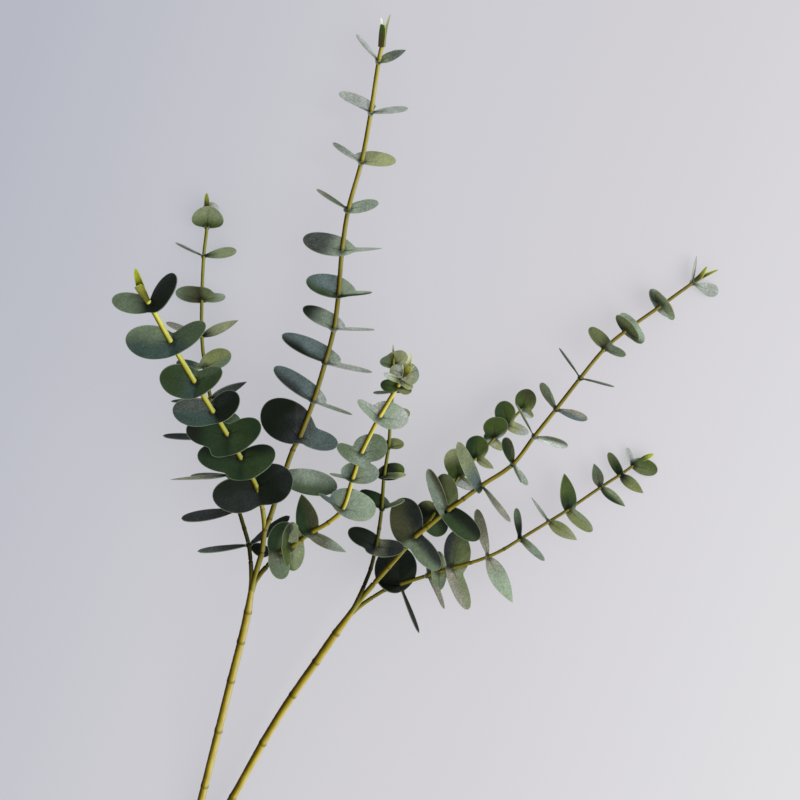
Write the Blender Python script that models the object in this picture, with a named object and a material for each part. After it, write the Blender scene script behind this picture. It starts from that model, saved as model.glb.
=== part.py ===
"""Eucalyptus branch, cut and laid on a level surface: its construction model.

Two arms fork from a short cut trunk. Each arm ends in a crown of leafy twigs, and every
leafy twig is one node: its stem with its leaves fused on. A young bud ends each twig.
The picture's up is +Y, and the eye looks straight down. Lengths are millimetres until
seen_at turns them into metres.
"""
import math

import bmesh
import bpy
from mathutils import Vector

MM = 0.001

# Every place below is given as the eye sees it, from the middle of the picture, on the
# plane at REFERENCE_HEIGHT. The third number of a place is its own height.
EYE_HEIGHT = 750.0
REFERENCE_HEIGHT = 60.0

# The middle of the finished branch, which goes to the origin.
CENTRE_X = 33.6
CENTRE_Y = -73.5

TRUNK_DIAMETER = 8.0
ARM_DIAMETER = 6.4
ARM_END_SHARE = 0.7
RING_WIDTH = 0.7
RING_LENGTH = 5.0
BLADE_THICKNESS = 0.7

# The clearance between a fork and its twig, or a twig and its bud, and the straight
# length that each starts with.
SEAT_GAP = 0.3
LEAD_LENGTH = 1.6

# How far a blade starts short of its heel and tip, as a share of its length, how steep
# its sides fold up from the midrib, and how high it arches, as a share of its length.
NECK = 0.06
FOLD = 0.16
ARCH = 0.05

# The rows of faces along a blade, with fewer on one shorter than SMALL_LEAF.
LEAF_ROWS = 4
SMALL_LEAF_ROWS = 3
SMALL_LEAF = 30.0

# The curve's bevel resolution, which gives the arms 8 sides and the twigs and buds 6.
ARM_SIDES_STEP = 2
TWIG_SIDES_STEP = 1

# A bud's radius from its base to its tip, as shares of the widest.
BUD_SHAPE = (0.75, 0.85, 1.0, 0.8, 0.3)

TRUNK_ROUTE = [(-191, -432, 3.99), (-181, -405, 7), (-172, -379, 11)]
LEFT_ARM_ROUTE = [
    (-172, -379, 11), (-166.5, -352, 16), (-160.3, -325, 22), (-156.3, -309, 25),
    (-145.3, -265, 36), (-135.3, -225, 46), (-127.3, -194, 53), (-121.8, -170, 58),
    (-118.5, -150, 62),
]
RIGHT_ARM_ROUTE = [
    (-172, -379, 11), (-157.5, -355, 15), (-134, -318, 22), (-110, -275, 31),
    (-98, -255, 36), (-86, -236.5, 40), (-67.5, -210, 46), (-51.5, -187, 51),
    (-38, -168.5, 54),
]
LEFT_RINGS = LEFT_ARM_ROUTE[3:8]
RIGHT_RINGS = [RIGHT_ARM_ROUTE[2], RIGHT_ARM_ROUTE[3]] + RIGHT_ARM_ROUTE[5:8]

# The fork where each leafy twig starts: what bears it, its diameter and its route. The
# twig's own stem begins at the fork's end.
FORKS = {
    "twig_back_left": ("main_stem", 3.6, [
        (-121, -164, 59), (-119, -146, 62), (-119, -137, 62), (-119.5, -128, 61)]),
    "twig_tall": ("main_stem", 4.4, [
        (-121, -164, 59), (-117, -145, 63), (-113.5, -132, 65), (-110.1, -121.5, 66)]),
    "twig_middle": ("main_stem", 4.0, [
        (-121, -164, 59), (-116.5, -147, 62), (-112, -139.5, 64), (-106.5, -133, 66)]),
    "twig_inner": ("main_stem", 3.4, [
        (-45.5, -178.5, 52.5), (-38, -167.5, 55), (-33, -158, 57), (-28.5, -148, 59)]),
    "twig_upper_right": ("main_stem", 4.4, [
        (-45.5, -178.5, 52.5), (-37.5, -167.5, 54), (-29.5, -157, 55), (-20.5, -146.5, 56)]),
    "twig_lower_right": ("main_stem", 3.4, [
        (-45.5, -178.5, 52.5), (-37, -169.5, 52), (-30, -163.5, 50.5), (-21.5, -157.5, 49)]),
    "twig_front_left": ("twig_tall", 3.8, [
        (-108.5, -108, 66.7), (-108.5, -100, 67.5), (-109.3, -92, 69), (-110.1, -86, 70.4)]),
    "twig_short_back": ("twig_upper_right", 2.8, [
        (11.4, -109.9, 60), (16.9, -103.4, 57.5), (21.4, -98.9, 55.5), (24.9, -94.5, 53.7)]),
}

# A blade's outline is two powers: how blunt it is at its base, and at its tip.
ROUND = (0.55, 0.5)
SPOON = (0.8, 0.5)
POINTED = (0.65, 0.95)
DROP = (0.5, 0.9)

# A twig's stops run from its foot to its tip: a place, and the leaves that grow there.
# A leaf is its tip as seen (x, y), the tip's rise over the stop, the blade's width, and
# how far the blade is turned: edge-on at 0, facing the eye at 90, edge-on again at 180.
# Then its heel (x, y), where the blade starts past the stem, and an outline of its own.
FRONT_LEFT = [
    ((-114.5, -70, 85), [(-151, -72, 4, 30, 65, -108, -71), (-90, -55, 2, 33, 75, -116, -80)]),
    ((-127, -47, 102), [(-161.5, -44, 4, 27, 60, -121, -48), (-101, -39.5, 2, 26, 65, -137.5, -61)]),
    ((-138, -28, 118), [(-171.5, -23, 4, 27, 60, -132, -29), (-113, -17.5, 2, 26, 65, -151, -43)]),
    ((-149, -10, 134), [(-182.5, -8, 4, 26, 60, -143, -12), (-130, 6, 2, 22, 65, -153, -17)]),
    ((-164, 14, 152), [(-192.5, 18, 4, 29, 65, -155, 12), (-143, 25.5, 2, 19, 60, -173, 3)]),
    ((-183, 46, 172), [(-219, 49, 4, 30, 65, -176, 43), (-156.5, 61.5, 2, 19, 60, -188, 38)]),
    ((-200.5, 77, 192), [(-231, 80.5, 4, 18, 65, -196, 74), (-181, 101, 2, 17, 60, -199, 70)]),
    ((-207.5, 88.5, 200), []),
]
BACK_LEFT = [
    ((-121, -116, 59), [(-162.5, -121, -4, 10, 150), (-104, -119, -12, 13, 60)]),
    ((-124.5, -103, 57), []),
    ((-129, -88, 54), [(-175.5, -95, 0, 14, 140), (-105, -84, -12, 15, 40)]),
    ((-137, -60, 48), [(-184, -63.5, -4, 6, 150, POINTED), (-168, -61, -8, 8, 140),
                       (-112, -52, -12, 14, 40)]),
    ((-145, -30, 42), [(-190, -28.5, -2, 9, 145), (-130, -13, -10, 19, 70)]),
    ((-151.5, 1, 36), [(-184, -1, -6, 6, 150), (-122.5, 14.5, -4, 10, 130, POINTED)]),
    ((-156, 26, 30), [(-179, 30, -6, 12, 140), (-135, 37, -8, 16, 75, -160, 28)]),
    ((-158.5, 51, 25), [(-188, 62.5, -8, 14, 140), (-128.5, 64, -6, 10, 125, POINTED)]),
    ((-158.5, 80, 20), [(-179.5, 86, 5, 15, 115, -147, 83), (-139.5, 83, -8, 9, 50)]),
    ((-157, 115, 16), [(-179.5, 126, -4, 5, 155), (-130.5, 119.5, -6, 11, 130)]),
    ((-154.5, 138, 13), [(-153, 155, 12, 25, 90), (-150, 158, -16, 18, 90)]),
    ((-154.5, 149, 12), []),
]
TALL = [
    ((-108, -104, 67), []),
    ((-104.3, -95, 67), []),
    ((-94.5, -65, 66), [(-50, -70, -4, 21, 105, -97, -61), (-124, -58, -16, 20, 50)]),
    ((-85.8, -40, 65), []),
    ((-80.3, -30, 65), [(-111, -6, -6, 35, 80, -69, -28), (-50, -36, -2, 18, 65, -83, -27)]),
    ((-69.3, -1, 63), [(-100.5, 26, -6, 17, 120, -59, -2), (-38, -12, 4, 8, 160)]),
    ((-59.8, 30, 60), [(-94, 52, -6, 17, 120, -47, 31), (-22, 22, 4, 8, 150)]),
    ((-52.8, 57, 57), [(-78, 74, -6, 15, 120, -44, 58), (-20, 56, 4, 7, 160)]),
    ((-49.3, 84, 54), [(-75.5, 96, -6, 19, 105, -36, 87), (-22, 86, 4, 8, 155)]),
    ((-46.3, 119.5, 50), [(-77.5, 129, -6, 18, 105, -36, 120), (-15, 121, 4, 7, 155, POINTED)]),
    ((-41.3, 152.5, 46), [(-67, 169, -4, 7, 150), (-17, 158, -4, 11, 120)]),
    ((-30.8, 190.5, 42), [(-54, 206, -4, 8, 145), (-3, 191, 4, 13, 115, -37, 195)]),
    ((-23.3, 230, 38), [(-49, 246, -4, 11, 130, -19, 234), (6, 233, -4, 9, 145)]),
    ((-17, 271, 33), [(-35, 293, -4, 7, 150), (5, 280, -4, 10, 130, POINTED)]),
    ((-15.6, 281.5, 31), []),
]
MIDDLE = [
    ((-96.5, -122.6, 68), [(-90, -94, 2, 20, 65, -98, -126), (-94, -143.5, 2, 16, 80, -99, -118)]),
    ((-87, -117.5, 70), [(-84.5, -137, -4, 15, 75, -85, -98.5)]),
    ((-79, -111.6, 71), []),
    ((-70.5, -105.6, 73), [(-79, -75, -4, 17, 75, -71.5, -110, DROP),
                           (-43, -122, -4, 12, 130, -74, -107, POINTED)]),
    ((-57.5, -98.2, 76), []),
    ((-46, -87.4, 78), [(-65, -75, -3, 8, 25), (-20, -91, 1, 24, 80, -55.5, -76.5)]),
    ((-38, -63.3, 83), [(-57, -59, -3, 6, 25), (-17, -59, 1, 18, 80, -47.5, -57.5)]),
    ((-31, -42.8, 87), [(-50.8, -35.5, 2, 13, 115, -23.5, -53.5), (-9.8, -38, -1, 23, 80, -37.5, -38)]),
    ((-16.5, -13.8, 92), [(-33, 0, 3, 10, 120, -10, -21), (6.3, -17, -1, 21, 80, -23.5, -7)]),
    ((-2, 10.7, 97), [(-15.5, 12.5, -6, 11, 75, 0, 10), (9.5, 7, -6, 9, 70)]),
    ((1, 16.2, 98.5), [(-13, 21, 2, 6, 60, 3, 14), (10.5, 9.5, 2, 8, 60, -2, 18)]),
    ((3.5, 20.7, 100), [(-8, 25, -3, 11, 70), (14.5, 24, -3, 18, 80, 1, 18)]),
    ((4.6, 23, 102.8), []),
]
INNER = [
    ((-23.5, -135, 63), []),
    ((-19.3, -117.5, 68), [(-41, -104.5, -2, 16, 110, -16, -116), (3.5, -118, 1, 15, 75, -28, -119)]),
    ((-16.7, -103, 68), []),
    ((-14.7, -87, 67), [(-32, -73.5, -2, 12, 110, -8, -85), (4, -79.5, 0, 7, 30)]),
    ((-12.7, -60.5, 65), [(4, -55, -3, 14, 80, -19, -60), (5, -59.5, 5, 6, 55, -16, -61)]),
    ((-9.2, -38, 63), [(3.5, -35.5, 3, 9, 75, -12, -34), (-24, -40, -6, 12, 60)]),
    ((-7.2, -10, 61), [(8.5, -11, -2, 9, 70), (-20, -8, -6, 10, 60)]),
    ((-5.8, 6.5, 60), [(-21.5, 6, -2, 5, 150), (10, 9.5, -3, 7, 45)]),
    ((-5.4, 27, 59), [(-15.5, 30.5, 1, 8, 110), (6.5, 36.5, 3, 12, 80, -10, 29.5)]),
    ((-5.2, 34.4, 57), []),
]
UPPER_RIGHT = [
    ((-9.6, -134, 57), []),
    ((4.9, -117.4, 58.5), []),
    ((11.4, -109.9, 60), [(2.5, -78.5, -6, 27, 80, 8, -118), (33.5, -134, -2, 21, 80, 7, -106)]),
    ((21.4, -101.9, 60), []),
    ((37.9, -88.4, 60), [(22, -54.5, 4, 14, 55, 38.5, -98), (33, -59, -5, 17, 75, 42.5, -86),
                         (62.5, -110.5, 2, 20, 80, 35, -85)]),
    ((50.4, -79.4, 60), []),
    ((65.4, -68.4, 58), [(46.5, -33.5, 4, 13, 125, 64.5, -75), (88.5, -97.5, -3, 8, 40)]),
    ((90.4, -51.4, 55), [(84, -30, 2, 10, 70), (102.5, -68.5, -6, 7, 50), (97.5, -66.5, 2, 4, 20)]),
    ((107.4, -29.4, 51), [(93.5, -4.5, 3, 5, 20), (134.5, -37, -6, 9, 125)]),
    ((124.9, -7.4, 46), [(112.5, 13.5, 4, 9, 55), (150, -15.5, -2, 9, 125)]),
    ((144.4, 17.6, 40), [(127.5, 41, 3, 5, 20), (171, 10.5, -4, 5, 160)]),
    ((163.4, 40.6, 33), [(151.5, 58.5, 2, 12, 110), (181, 35, -4, 8, 55)]),
    ((180.4, 55.1, 28), [(188, 61.5, 19, 27, 90), (192, 57, -15, 24, 90)]),
    ((208.4, 75.1, 19), [(215.5, 80.5, 19, 28, 90), (210, 83, -14, 27, 90)]),
    ((233.8, 93.4, 10.4), [(237.5, 115, -2, 5, 155, POINTED), (254, 86, -14, 9.5, 90)]),
    ((237.2, 96.1, 10.4), []),
]
LOWER_RIGHT = [
    ((-12, -152, 48), []),
    ((0, -147.4, 46), [(-2, -117, -6, 35, 80, -5, -154.5), (15.5, -186.5, 2, 8, 25)]),
    ((22, -140.4, 44), [(35.5, -167, 2, 8, 35, 20.5, -127)]),
    ((31, -137.6, 43), [(31.5, -152, -4, 13, 80, 31, -121)]),
    ((42, -134.4, 42), [(45, -103.5, -6, 22, 80, 46.5, -140), (54.8, -167.5, 2, 14, 70, 38, -127)]),
    ((56, -130.4, 40), []),
    ((70.5, -125.4, 38), [(61.5, -87, -2, 10, 120), (90, -161.8, 2, 16, 60, POINTED)]),
    ((83, -119.4, 36), []),
    ((96, -111.4, 34), [(93, -86, -3, 7, 60), (115.5, -128.5, -2, 8, 130, 94, -108)]),
    ((119, -97.4, 29), [(105.5, -78, -3, 6, 155, DROP), (141.5, -112, 2, 11, 110, POINTED)]),
    ((135, -87.4, 25), [(131.5, -59, 2, 13, 100, 136.5, -90, DROP), (154, -105.5, 2, 11, 70, 132, -86)]),
    ((160.5, -69.9, 19), [(155, -50.5, -3, 9, 80, POINTED), (180.5, -85.5, 1, 9, 120, POINTED)]),
    ((176, -59.9, 14), [(166.5, -41.5, -3, 9, 60, 178, -62), (194.5, -74.5, 1, 10, 115, POINTED)]),
    ((186.5, -52.4, 10), [(181.5, -38.2, -3, 5, 60), (206, -54, -13.5, 14.5, 90)]),
    ((190.8, -49, 10.8), []),
]
SHORT_BACK = [
    ((28, -89.8, 52), [(16, -82.5, -4, 16, 75), (35, -108.5, -10, 15, 75)]),
    ((42, -69.3, 48), []),
    ((47.5, -61.3, 46), [(42, -39.5, -2, 20, 80, 49, -63), (60, -71, -3, 10, 60, 38.5, -60)]),
    ((61, -46.3, 42), [(60.3, -28.3, -2, 18.5, 80, 62.8, -48), (75, -55, -3, 8, 120, POINTED)]),
    ((76, -30.3, 38), [(75, -13.3, -2, 20, 80, 78, -31), (83, -39.5, -3, 9, 60, 67, -28)]),
    ((86, -19.8, 34), [(82.3, -1.3, -2, 17, 80, 86, -20.5), (102.8, -26.5, -3, 9.5, 65, 82, -18)]),
    ((97.5, -7.3, 30), [(102.3, 9, -1, 17.5, 80, 99, -10), (106.5, -13.5, -3, 7, 60)]),
    ((99.6, -5.2, 27.8), []),
]

# Each leafy twig: its name, foot and tip diameters, blade outline and stops.
TWIGS = [
    ("twig_front_left", 3.8, 3.6, ROUND, FRONT_LEFT),
    ("twig_back_left", 3.4, 2.8, SPOON, BACK_LEFT),
    ("twig_tall", 4.2, 3.4, SPOON, TALL),
    ("twig_middle", 3.8, 3.2, ROUND, MIDDLE),
    ("twig_inner", 3.2, 2.4, SPOON, INNER),
    ("twig_upper_right", 4.2, 2.6, SPOON, UPPER_RIGHT),
    ("twig_lower_right", 3.2, 2.2, SPOON, LOWER_RIGHT),
    ("twig_short_back", 2.6, 2.0, ROUND, SHORT_BACK),
]

# Each bud: its name, its twig, its diameter, its route past the twig's tip, and the
# routes of its side spikes.
BUDS = [
    ("bud_front_left", "twig_front_left", 8.2,
     [(-210.5, 93, 203), (-211.5, 99, 207), (-212.5, 105, 211)], []),
    ("bud_back_left", "twig_back_left", 4.4,
     [(-154.5, 155, 13), (-154.3, 161, 13), (-154, 166, 13)], []),
    ("bud_tall", "twig_tall", 5.2,
     [(-15.7, 289, 31), (-15.4, 298, 31), (-15, 305, 31)],
     [[(-15.7, 287, 31), (-14, 293, 31.5), (-10.5, 301, 32.5), (-6, 309, 33)]]),
    ("bud_middle", "twig_middle", 5.4,
     [(6.5, 27.5, 104.8), (7.6, 33, 106.6), (8, 38.5, 108)], []),
    ("bud_inner", "twig_inner", 2.6,
     [(-5.1, 38, 56.6), (-5, 42, 56.4), (-5, 45.5, 56.2)], []),
    ("bud_upper_right", "twig_upper_right", 4.0,
     [(240, 98.8, 10.4), (244, 102, 10.2), (246.5, 106.5, 9.6)],
     [[(239, 98, 10.4), (242, 100.3, 10.2), (247, 101.6, 9.6), (253, 103.2, 9)]]),
    ("bud_lower_right", "twig_lower_right", 3.8,
     [(194, -46.8, 11.8), (198, -45.2, 12.4), (202.5, -43.2, 12.8)], []),
    ("bud_short_back", "twig_short_back", 2.4,
     [(101.4, -3.2, 27), (103, -1.8, 26.6), (104.5, -0.3, 26.2)], []),
]


def seen_scale(height):
    """How much smaller a length really is than it looks on the reference plane."""
    return (EYE_HEIGHT - height) / (EYE_HEIGHT - REFERENCE_HEIGHT)


def seen_at(place):
    """The real place, in metres, of what the eye sees at (x, y) and that lies at height z."""
    x, y, height = place
    scale = seen_scale(height)
    return Vector((x * scale - CENTRE_X, y * scale - CENTRE_Y, height)) * MM


def clear_scene():
    for thing in list(bpy.data.objects):
        bpy.data.objects.remove(thing, do_unlink=True)


def plain_material(name, colour, roughness):
    material = bpy.data.materials.new(name)
    material.use_nodes = True
    shader = material.node_tree.nodes["Principled BSDF"]
    shader.inputs["Base Color"].default_value = (*colour, 1.0)
    shader.inputs["Roughness"].default_value = roughness
    shader.inputs["Metallic"].default_value = 0.0
    return material


def add_object(name, mesh, material):
    thing = bpy.data.objects.new(name, mesh)
    bpy.context.scene.collection.objects.link(thing)
    mesh.materials.clear()
    mesh.materials.append(material)
    return thing


def tube_mesh(points, radii, sides_step):
    """A closed round tube through points, from a bevelled curve with smooth handles."""
    curve = bpy.data.curves.new("tube", "CURVE")
    curve.dimensions = "3D"
    curve.bevel_depth = 1.0
    curve.bevel_resolution = sides_step
    curve.resolution_u = 1
    curve.use_fill_caps = True
    spline = curve.splines.new("BEZIER")
    spline.bezier_points.add(len(points) - 1)
    for knot, point, radius in zip(spline.bezier_points, points, radii):
        knot.co = point
        knot.radius = radius
        knot.handle_left_type = "AUTO"
        knot.handle_right_type = "AUTO"
    carrier = bpy.data.objects.new("tube", curve)
    bpy.context.scene.collection.objects.link(carrier)
    viewed = carrier.evaluated_get(bpy.context.evaluated_depsgraph_get())
    mesh = bpy.data.meshes.new_from_object(viewed)
    bpy.data.objects.remove(carrier, do_unlink=True)
    welded = bmesh.new()
    welded.from_mesh(mesh)
    bmesh.ops.remove_doubles(welded, verts=welded.verts, dist=1e-6)
    bmesh.ops.recalc_face_normals(welded, faces=welded.faces)
    welded.to_mesh(mesh)
    welded.free()
    return mesh


def led_route(start, lead, places):
    """A route that leaves its start straight along lead, and then visits places."""
    return [start, start + lead * LEAD_LENGTH * MM] + [seen_at(place) for place in places]


def end_of(places):
    """Where the next piece starts past a route's end, and the direction of that end."""
    end = seen_at(places[-1])
    lead = (end - seen_at(places[-2])).normalized()
    return end + lead * SEAT_GAP * MM, lead


def tapered_radii(points, foot, tip):
    """Radii in metres that fall evenly from foot to tip, for diameters in millimetres."""
    last = len(points) - 1
    return [(foot + (tip - foot) * index / last) / 2 * MM for index in range(last + 1)]


def half_width(along, outline):
    """The blade's half-width at a share of its length, as a share of the widest."""
    base_power, tip_power = outline
    peak = base_power / (base_power + tip_power)
    widest = peak ** base_power * (1 - peak) ** tip_power
    return along ** base_power * (1 - along) ** tip_power / widest


def read_leaf(stop, leaf, twig_outline):
    """A leaf's heel and tip in metres, its width in millimetres, its turn and outline."""
    tip_x, tip_y, rise, width, face = leaf[:5]
    x, y, height = stop
    places = [extra for extra in leaf[5:] if not isinstance(extra, tuple)]
    outlines = [extra for extra in leaf[5:] if isinstance(extra, tuple)]
    outline = ROUND if places else twig_outline
    if outlines:
        outline = outlines[0]
    heel = seen_at(stop)
    if places:
        share = math.dist(places, (x, y)) / math.dist((tip_x, tip_y), (x, y))
        heel = seen_at((*places, height - rise * share))
    return heel, seen_at((tip_x, tip_y, height + rise)), width, math.radians(face), outline


def blade_directions(heel, tip, turn):
    """The directions across a blade and out of its face."""
    axis = (tip - heel).normalized()
    eye = Vector((-CENTRE_X, -CENTRE_Y, EYE_HEIGHT)) * MM - (tip + heel) / 2
    toward_eye = (eye - eye.dot(axis) * axis).normalized()
    beside = toward_eye.cross(axis)
    normal = math.cos(turn) * beside + math.sin(turn) * toward_eye
    return axis.cross(normal), normal


def leaf_mesh(stop, leaf, twig_outline):
    """A closed blade: a grid bent to the leaf's outline, fold and arch, then thickened.

    Where it would reach through the ground, it lies flat on it instead.
    """
    heel, tip, width, turn, outline = read_leaf(stop, leaf, twig_outline)
    across, normal = blade_directions(heel, tip, turn)
    half = width * seen_scale(stop[2]) / 2 * MM
    length = (tip - heel).length
    rows = LEAF_ROWS if length > SMALL_LEAF * MM else SMALL_LEAF_ROWS
    blade = bmesh.new()
    bmesh.ops.create_grid(blade, x_segments=2, y_segments=rows, size=1.0)
    for vertex in blade.verts:
        along = NECK / 2 + (1 - NECK) * (1 - math.cos((vertex.co.y + 1) * math.pi / 2)) / 2
        reach = vertex.co.x * half * half_width(along, outline)
        lift = FOLD * abs(reach) + ARCH * length * math.sin(along * math.pi)
        place = heel.lerp(tip, along) + across * reach + normal * lift
        vertex.co = (place.x, place.y, max(place.z, BLADE_THICKNESS * MM))
    bmesh.ops.triangulate(blade, faces=blade.faces, quad_method="FIXED")
    bmesh.ops.solidify(blade, geom=blade.faces, thickness=BLADE_THICKNESS * MM)
    for vertex in blade.verts:
        if vertex.co.z < BLADE_THICKNESS / 2 * MM:
            vertex.co.z = 0.0
    bmesh.ops.recalc_face_normals(blade, faces=blade.faces)
    mesh = bpy.data.meshes.new("blade")
    blade.to_mesh(mesh)
    blade.free()
    return mesh


def keep_largest_island(mesh):
    """Drop the pockets that a union seals and the scraps that it leaves loose."""
    body = bmesh.new()
    body.from_mesh(mesh)
    waiting = set(body.faces)
    islands = []
    while waiting:
        front = [waiting.pop()]
        island = set(front)
        while front:
            sides = front.pop().edges
            found = {face for side in sides for face in side.link_faces} & waiting
            waiting -= found
            island |= found
            front += found
        islands.append(island)
    largest = max(islands, key=len)
    spare = [face for face in body.faces if face not in largest]
    bmesh.ops.delete(body, geom=spare, context="FACES")
    body.to_mesh(mesh)
    body.free()
    return [len(island) for island in islands]


def fuse(name, meshes, material):
    """Join closed meshes into one body by a Boolean union on a collection."""
    body = add_object(name, meshes[0], material)
    parts = bpy.data.collections.new("parts")
    bpy.context.scene.collection.children.link(parts)
    for mesh in meshes[1:]:
        mesh.materials.clear()
        mesh.materials.append(material)
        parts.objects.link(bpy.data.objects.new("repeat", mesh))
    union = body.modifiers.new("union", "BOOLEAN")
    union.operation = "UNION"
    union.operand_type = "COLLECTION"
    union.collection = parts
    union.solver = "EXACT"
    viewed = body.evaluated_get(bpy.context.evaluated_depsgraph_get())
    fused = bpy.data.meshes.new_from_object(viewed)
    keep_largest_island(fused)
    body.modifiers.clear()
    body.data = fused
    for repeat in list(parts.objects):
        bpy.data.objects.remove(repeat, do_unlink=True)
    bpy.data.collections.remove(parts)
    return body


def ringed_tube(route, diameter, rings):
    """An arm's tube, with a short swelling at each ring joint and a narrowed end."""
    points = []
    radii = []
    radius = diameter / 2 * MM
    for index, place in enumerate(route):
        point = seen_at(place)
        if place in rings:
            direction = (seen_at(route[index + 1]) - seen_at(route[index - 1])).normalized()
            for offset, swell in ((-0.5, 0.0), (0.0, RING_WIDTH / 2), (0.5, 0.0)):
                points.append(point + direction * offset * RING_LENGTH * MM)
                radii.append(radius + swell * MM)
        else:
            points.append(point)
            radii.append(radius)
    radii[-1] = radius * ARM_END_SHARE
    return tube_mesh(points, radii, ARM_SIDES_STEP)


def fork_meshes(bearer, sides_step):
    """The forks that a main stem or a twig bears, as closed tubes."""
    meshes = []
    for owner, diameter, route in FORKS.values():
        if owner == bearer:
            points = [seen_at(place) for place in route]
            radii = tapered_radii(points, diameter, diameter)
            meshes.append(tube_mesh(points, radii, sides_step))
    return meshes


def make_main_stem(material):
    trunk = [seen_at(place) for place in TRUNK_ROUTE]
    meshes = [
        tube_mesh(trunk, tapered_radii(trunk, TRUNK_DIAMETER, TRUNK_DIAMETER), ARM_SIDES_STEP),
        ringed_tube(LEFT_ARM_ROUTE, ARM_DIAMETER, LEFT_RINGS),
        ringed_tube(RIGHT_ARM_ROUTE, ARM_DIAMETER, RIGHT_RINGS),
    ]
    return fuse("main_stem", meshes + fork_meshes("main_stem", ARM_SIDES_STEP), material)


def make_twig(name, foot, tip, outline, stops, material):
    start, lead = end_of(FORKS[name][2])
    points = led_route(start, lead, [place for place, leaves in stops])
    radii = tapered_radii(points, foot, tip)
    meshes = [tube_mesh(points, radii, TWIG_SIDES_STEP)]
    meshes += fork_meshes(name, TWIG_SIDES_STEP)
    for place, leaves in stops:
        for leaf in leaves:
            meshes.append(leaf_mesh(place, leaf, outline))
    return fuse(name, meshes, material)


def make_bud(name, twig, diameter, route, side_routes, material):
    stops = next(row[4] for row in TWIGS if row[0] == twig)
    start, lead = end_of([place for place, leaves in stops])
    radius = diameter / 2 * seen_scale(route[0][2]) * MM
    points = led_route(start, lead, route)
    meshes = [tube_mesh(points, [radius * share for share in BUD_SHAPE], TWIG_SIDES_STEP)]
    for side_route in side_routes:
        points = [seen_at(place) for place in side_route]
        radii = [radius * share for share in BUD_SHAPE[1:]]
        meshes.append(tube_mesh(points, radii, TWIG_SIDES_STEP))
    return fuse(name, meshes, material)


def main():
    clear_scene()
    bark = plain_material("olive_bark", (0.32, 0.27, 0.05), 0.55)
    green = plain_material("eucalyptus_leaf", (0.10, 0.17, 0.10), 0.6)
    bud_green = plain_material("young_bud", (0.42, 0.46, 0.06), 0.5)
    make_main_stem(bark)
    for name, foot, tip, outline, stops in TWIGS:
        make_twig(name, foot, tip, outline, stops, green)
    for name, twig, diameter, route, side_routes in BUDS:
        make_bud(name, twig, diameter, route, side_routes, bud_green)


main()
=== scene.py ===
"""Eucalyptus branch: the looks of its bark, its leaves and its young buds.

The stems and blades follow the construction model's own routes and leaf rows, so every
piece lies where its solid does. Lengths are millimetres until seen_at and MM turn them
into metres. The picture's up is +Y, and the eye looks straight down.
"""
import math

import bmesh
import bpy
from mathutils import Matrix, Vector, noise


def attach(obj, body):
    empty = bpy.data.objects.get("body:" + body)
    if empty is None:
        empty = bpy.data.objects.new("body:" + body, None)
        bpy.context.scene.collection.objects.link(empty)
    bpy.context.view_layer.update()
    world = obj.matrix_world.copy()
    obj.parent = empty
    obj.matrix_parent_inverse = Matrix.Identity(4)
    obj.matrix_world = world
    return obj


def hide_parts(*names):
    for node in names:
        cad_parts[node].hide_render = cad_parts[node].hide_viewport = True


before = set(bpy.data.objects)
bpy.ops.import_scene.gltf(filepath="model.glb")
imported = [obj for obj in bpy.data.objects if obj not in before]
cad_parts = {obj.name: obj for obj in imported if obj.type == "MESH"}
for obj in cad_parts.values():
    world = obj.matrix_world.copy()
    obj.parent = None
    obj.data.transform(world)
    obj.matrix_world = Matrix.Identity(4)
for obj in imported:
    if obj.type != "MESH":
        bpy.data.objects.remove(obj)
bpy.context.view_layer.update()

MM = 0.001
UP = Vector((0.0, 0.0, 1.0))

# Every place below is given as the eye sees it, from the middle of the picture, on the
# plane at REFERENCE_HEIGHT. The third number of a place is its own height.
EYE_HEIGHT = 750.0
REFERENCE_HEIGHT = 60.0
PICTURE_HALF = 320.0
CENTRE_X = 33.6
CENTRE_Y = -73.5

TRUNK_DIAMETER = 8.0
ARM_DIAMETER = 6.4
ARM_END_SHARE = 0.7
SEAT_GAP = 0.3

# How far a stem reaches back into the one that bears it.
ROOTED = 1.2

# The spacing of a stem's rows of faces, and the faces round it.
ARM_ROW = 0.7
TWIG_ROW = 0.8
ARM_SIDES = 16
TWIG_SIDES = 12

# A ring joint stands this far out of an arm. It starts abruptly and fades out slowly.
RING_HEIGHT = 0.35
RING_RISE = 0.7
RING_FADE = 3.0

# A leaf joint swells its twig by this share of the radius.
JOINT_SHARE = 0.14
JOINT_RISE = 0.9
JOINT_FADE = 1.6

# How a stem's end closes: how far in from its end, and how wide, both in radii. The other
# rows stay CAP_ROOM radii away from the end.
DOMED = ((0.0, 0.0), (0.03, 0.25), (0.13, 0.5), (0.34, 0.75), (0.65, 0.94))
SAWN = ((0.0, 0.0), (0.0, 0.3), (0.0, 0.6), (0.0, 0.93), (0.1, 1.0))
CAP_ROOM = 0.8

# Painted light and shade: the bark's colour repeats the photo's light from the right, so this
# side of every stem is yellow and the far one brown, whatever the lamps do. Then how sharply.
PAINTED_LIGHT_SIDE = Vector((0.97, 0.05, 0.16)).normalized()
PAINTED_LIGHT_SPREAD = 0.62
BARK_RELIEF = 0.05
BARK_PITCH = 420.0

# How bright the bark of an arm is at its foot and at its end, as the photo shows it with the
# crowns' shade, a fork's share of that, and how green the fork is.
ARM_BRIGHT = (1.0, 0.75)
FORK_DUSK = 0.8
FORK_YOUTH = 0.5

# The rings of the trunk's sawn end, in metres.
WOOD_RING = 0.0008

# A young leaf's mesh and its thickness, the share of its length that it takes to widen, and
# where its tip's tone sets in and over what length.
YOUNG_COLUMNS = 14
YOUNG_ROWS = 18
YOUNG_THICKNESS = 0.35
YOUNG_WIDENING = 0.6
YOUNG_TIP_TONE = (0.3, 0.55)

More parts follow.
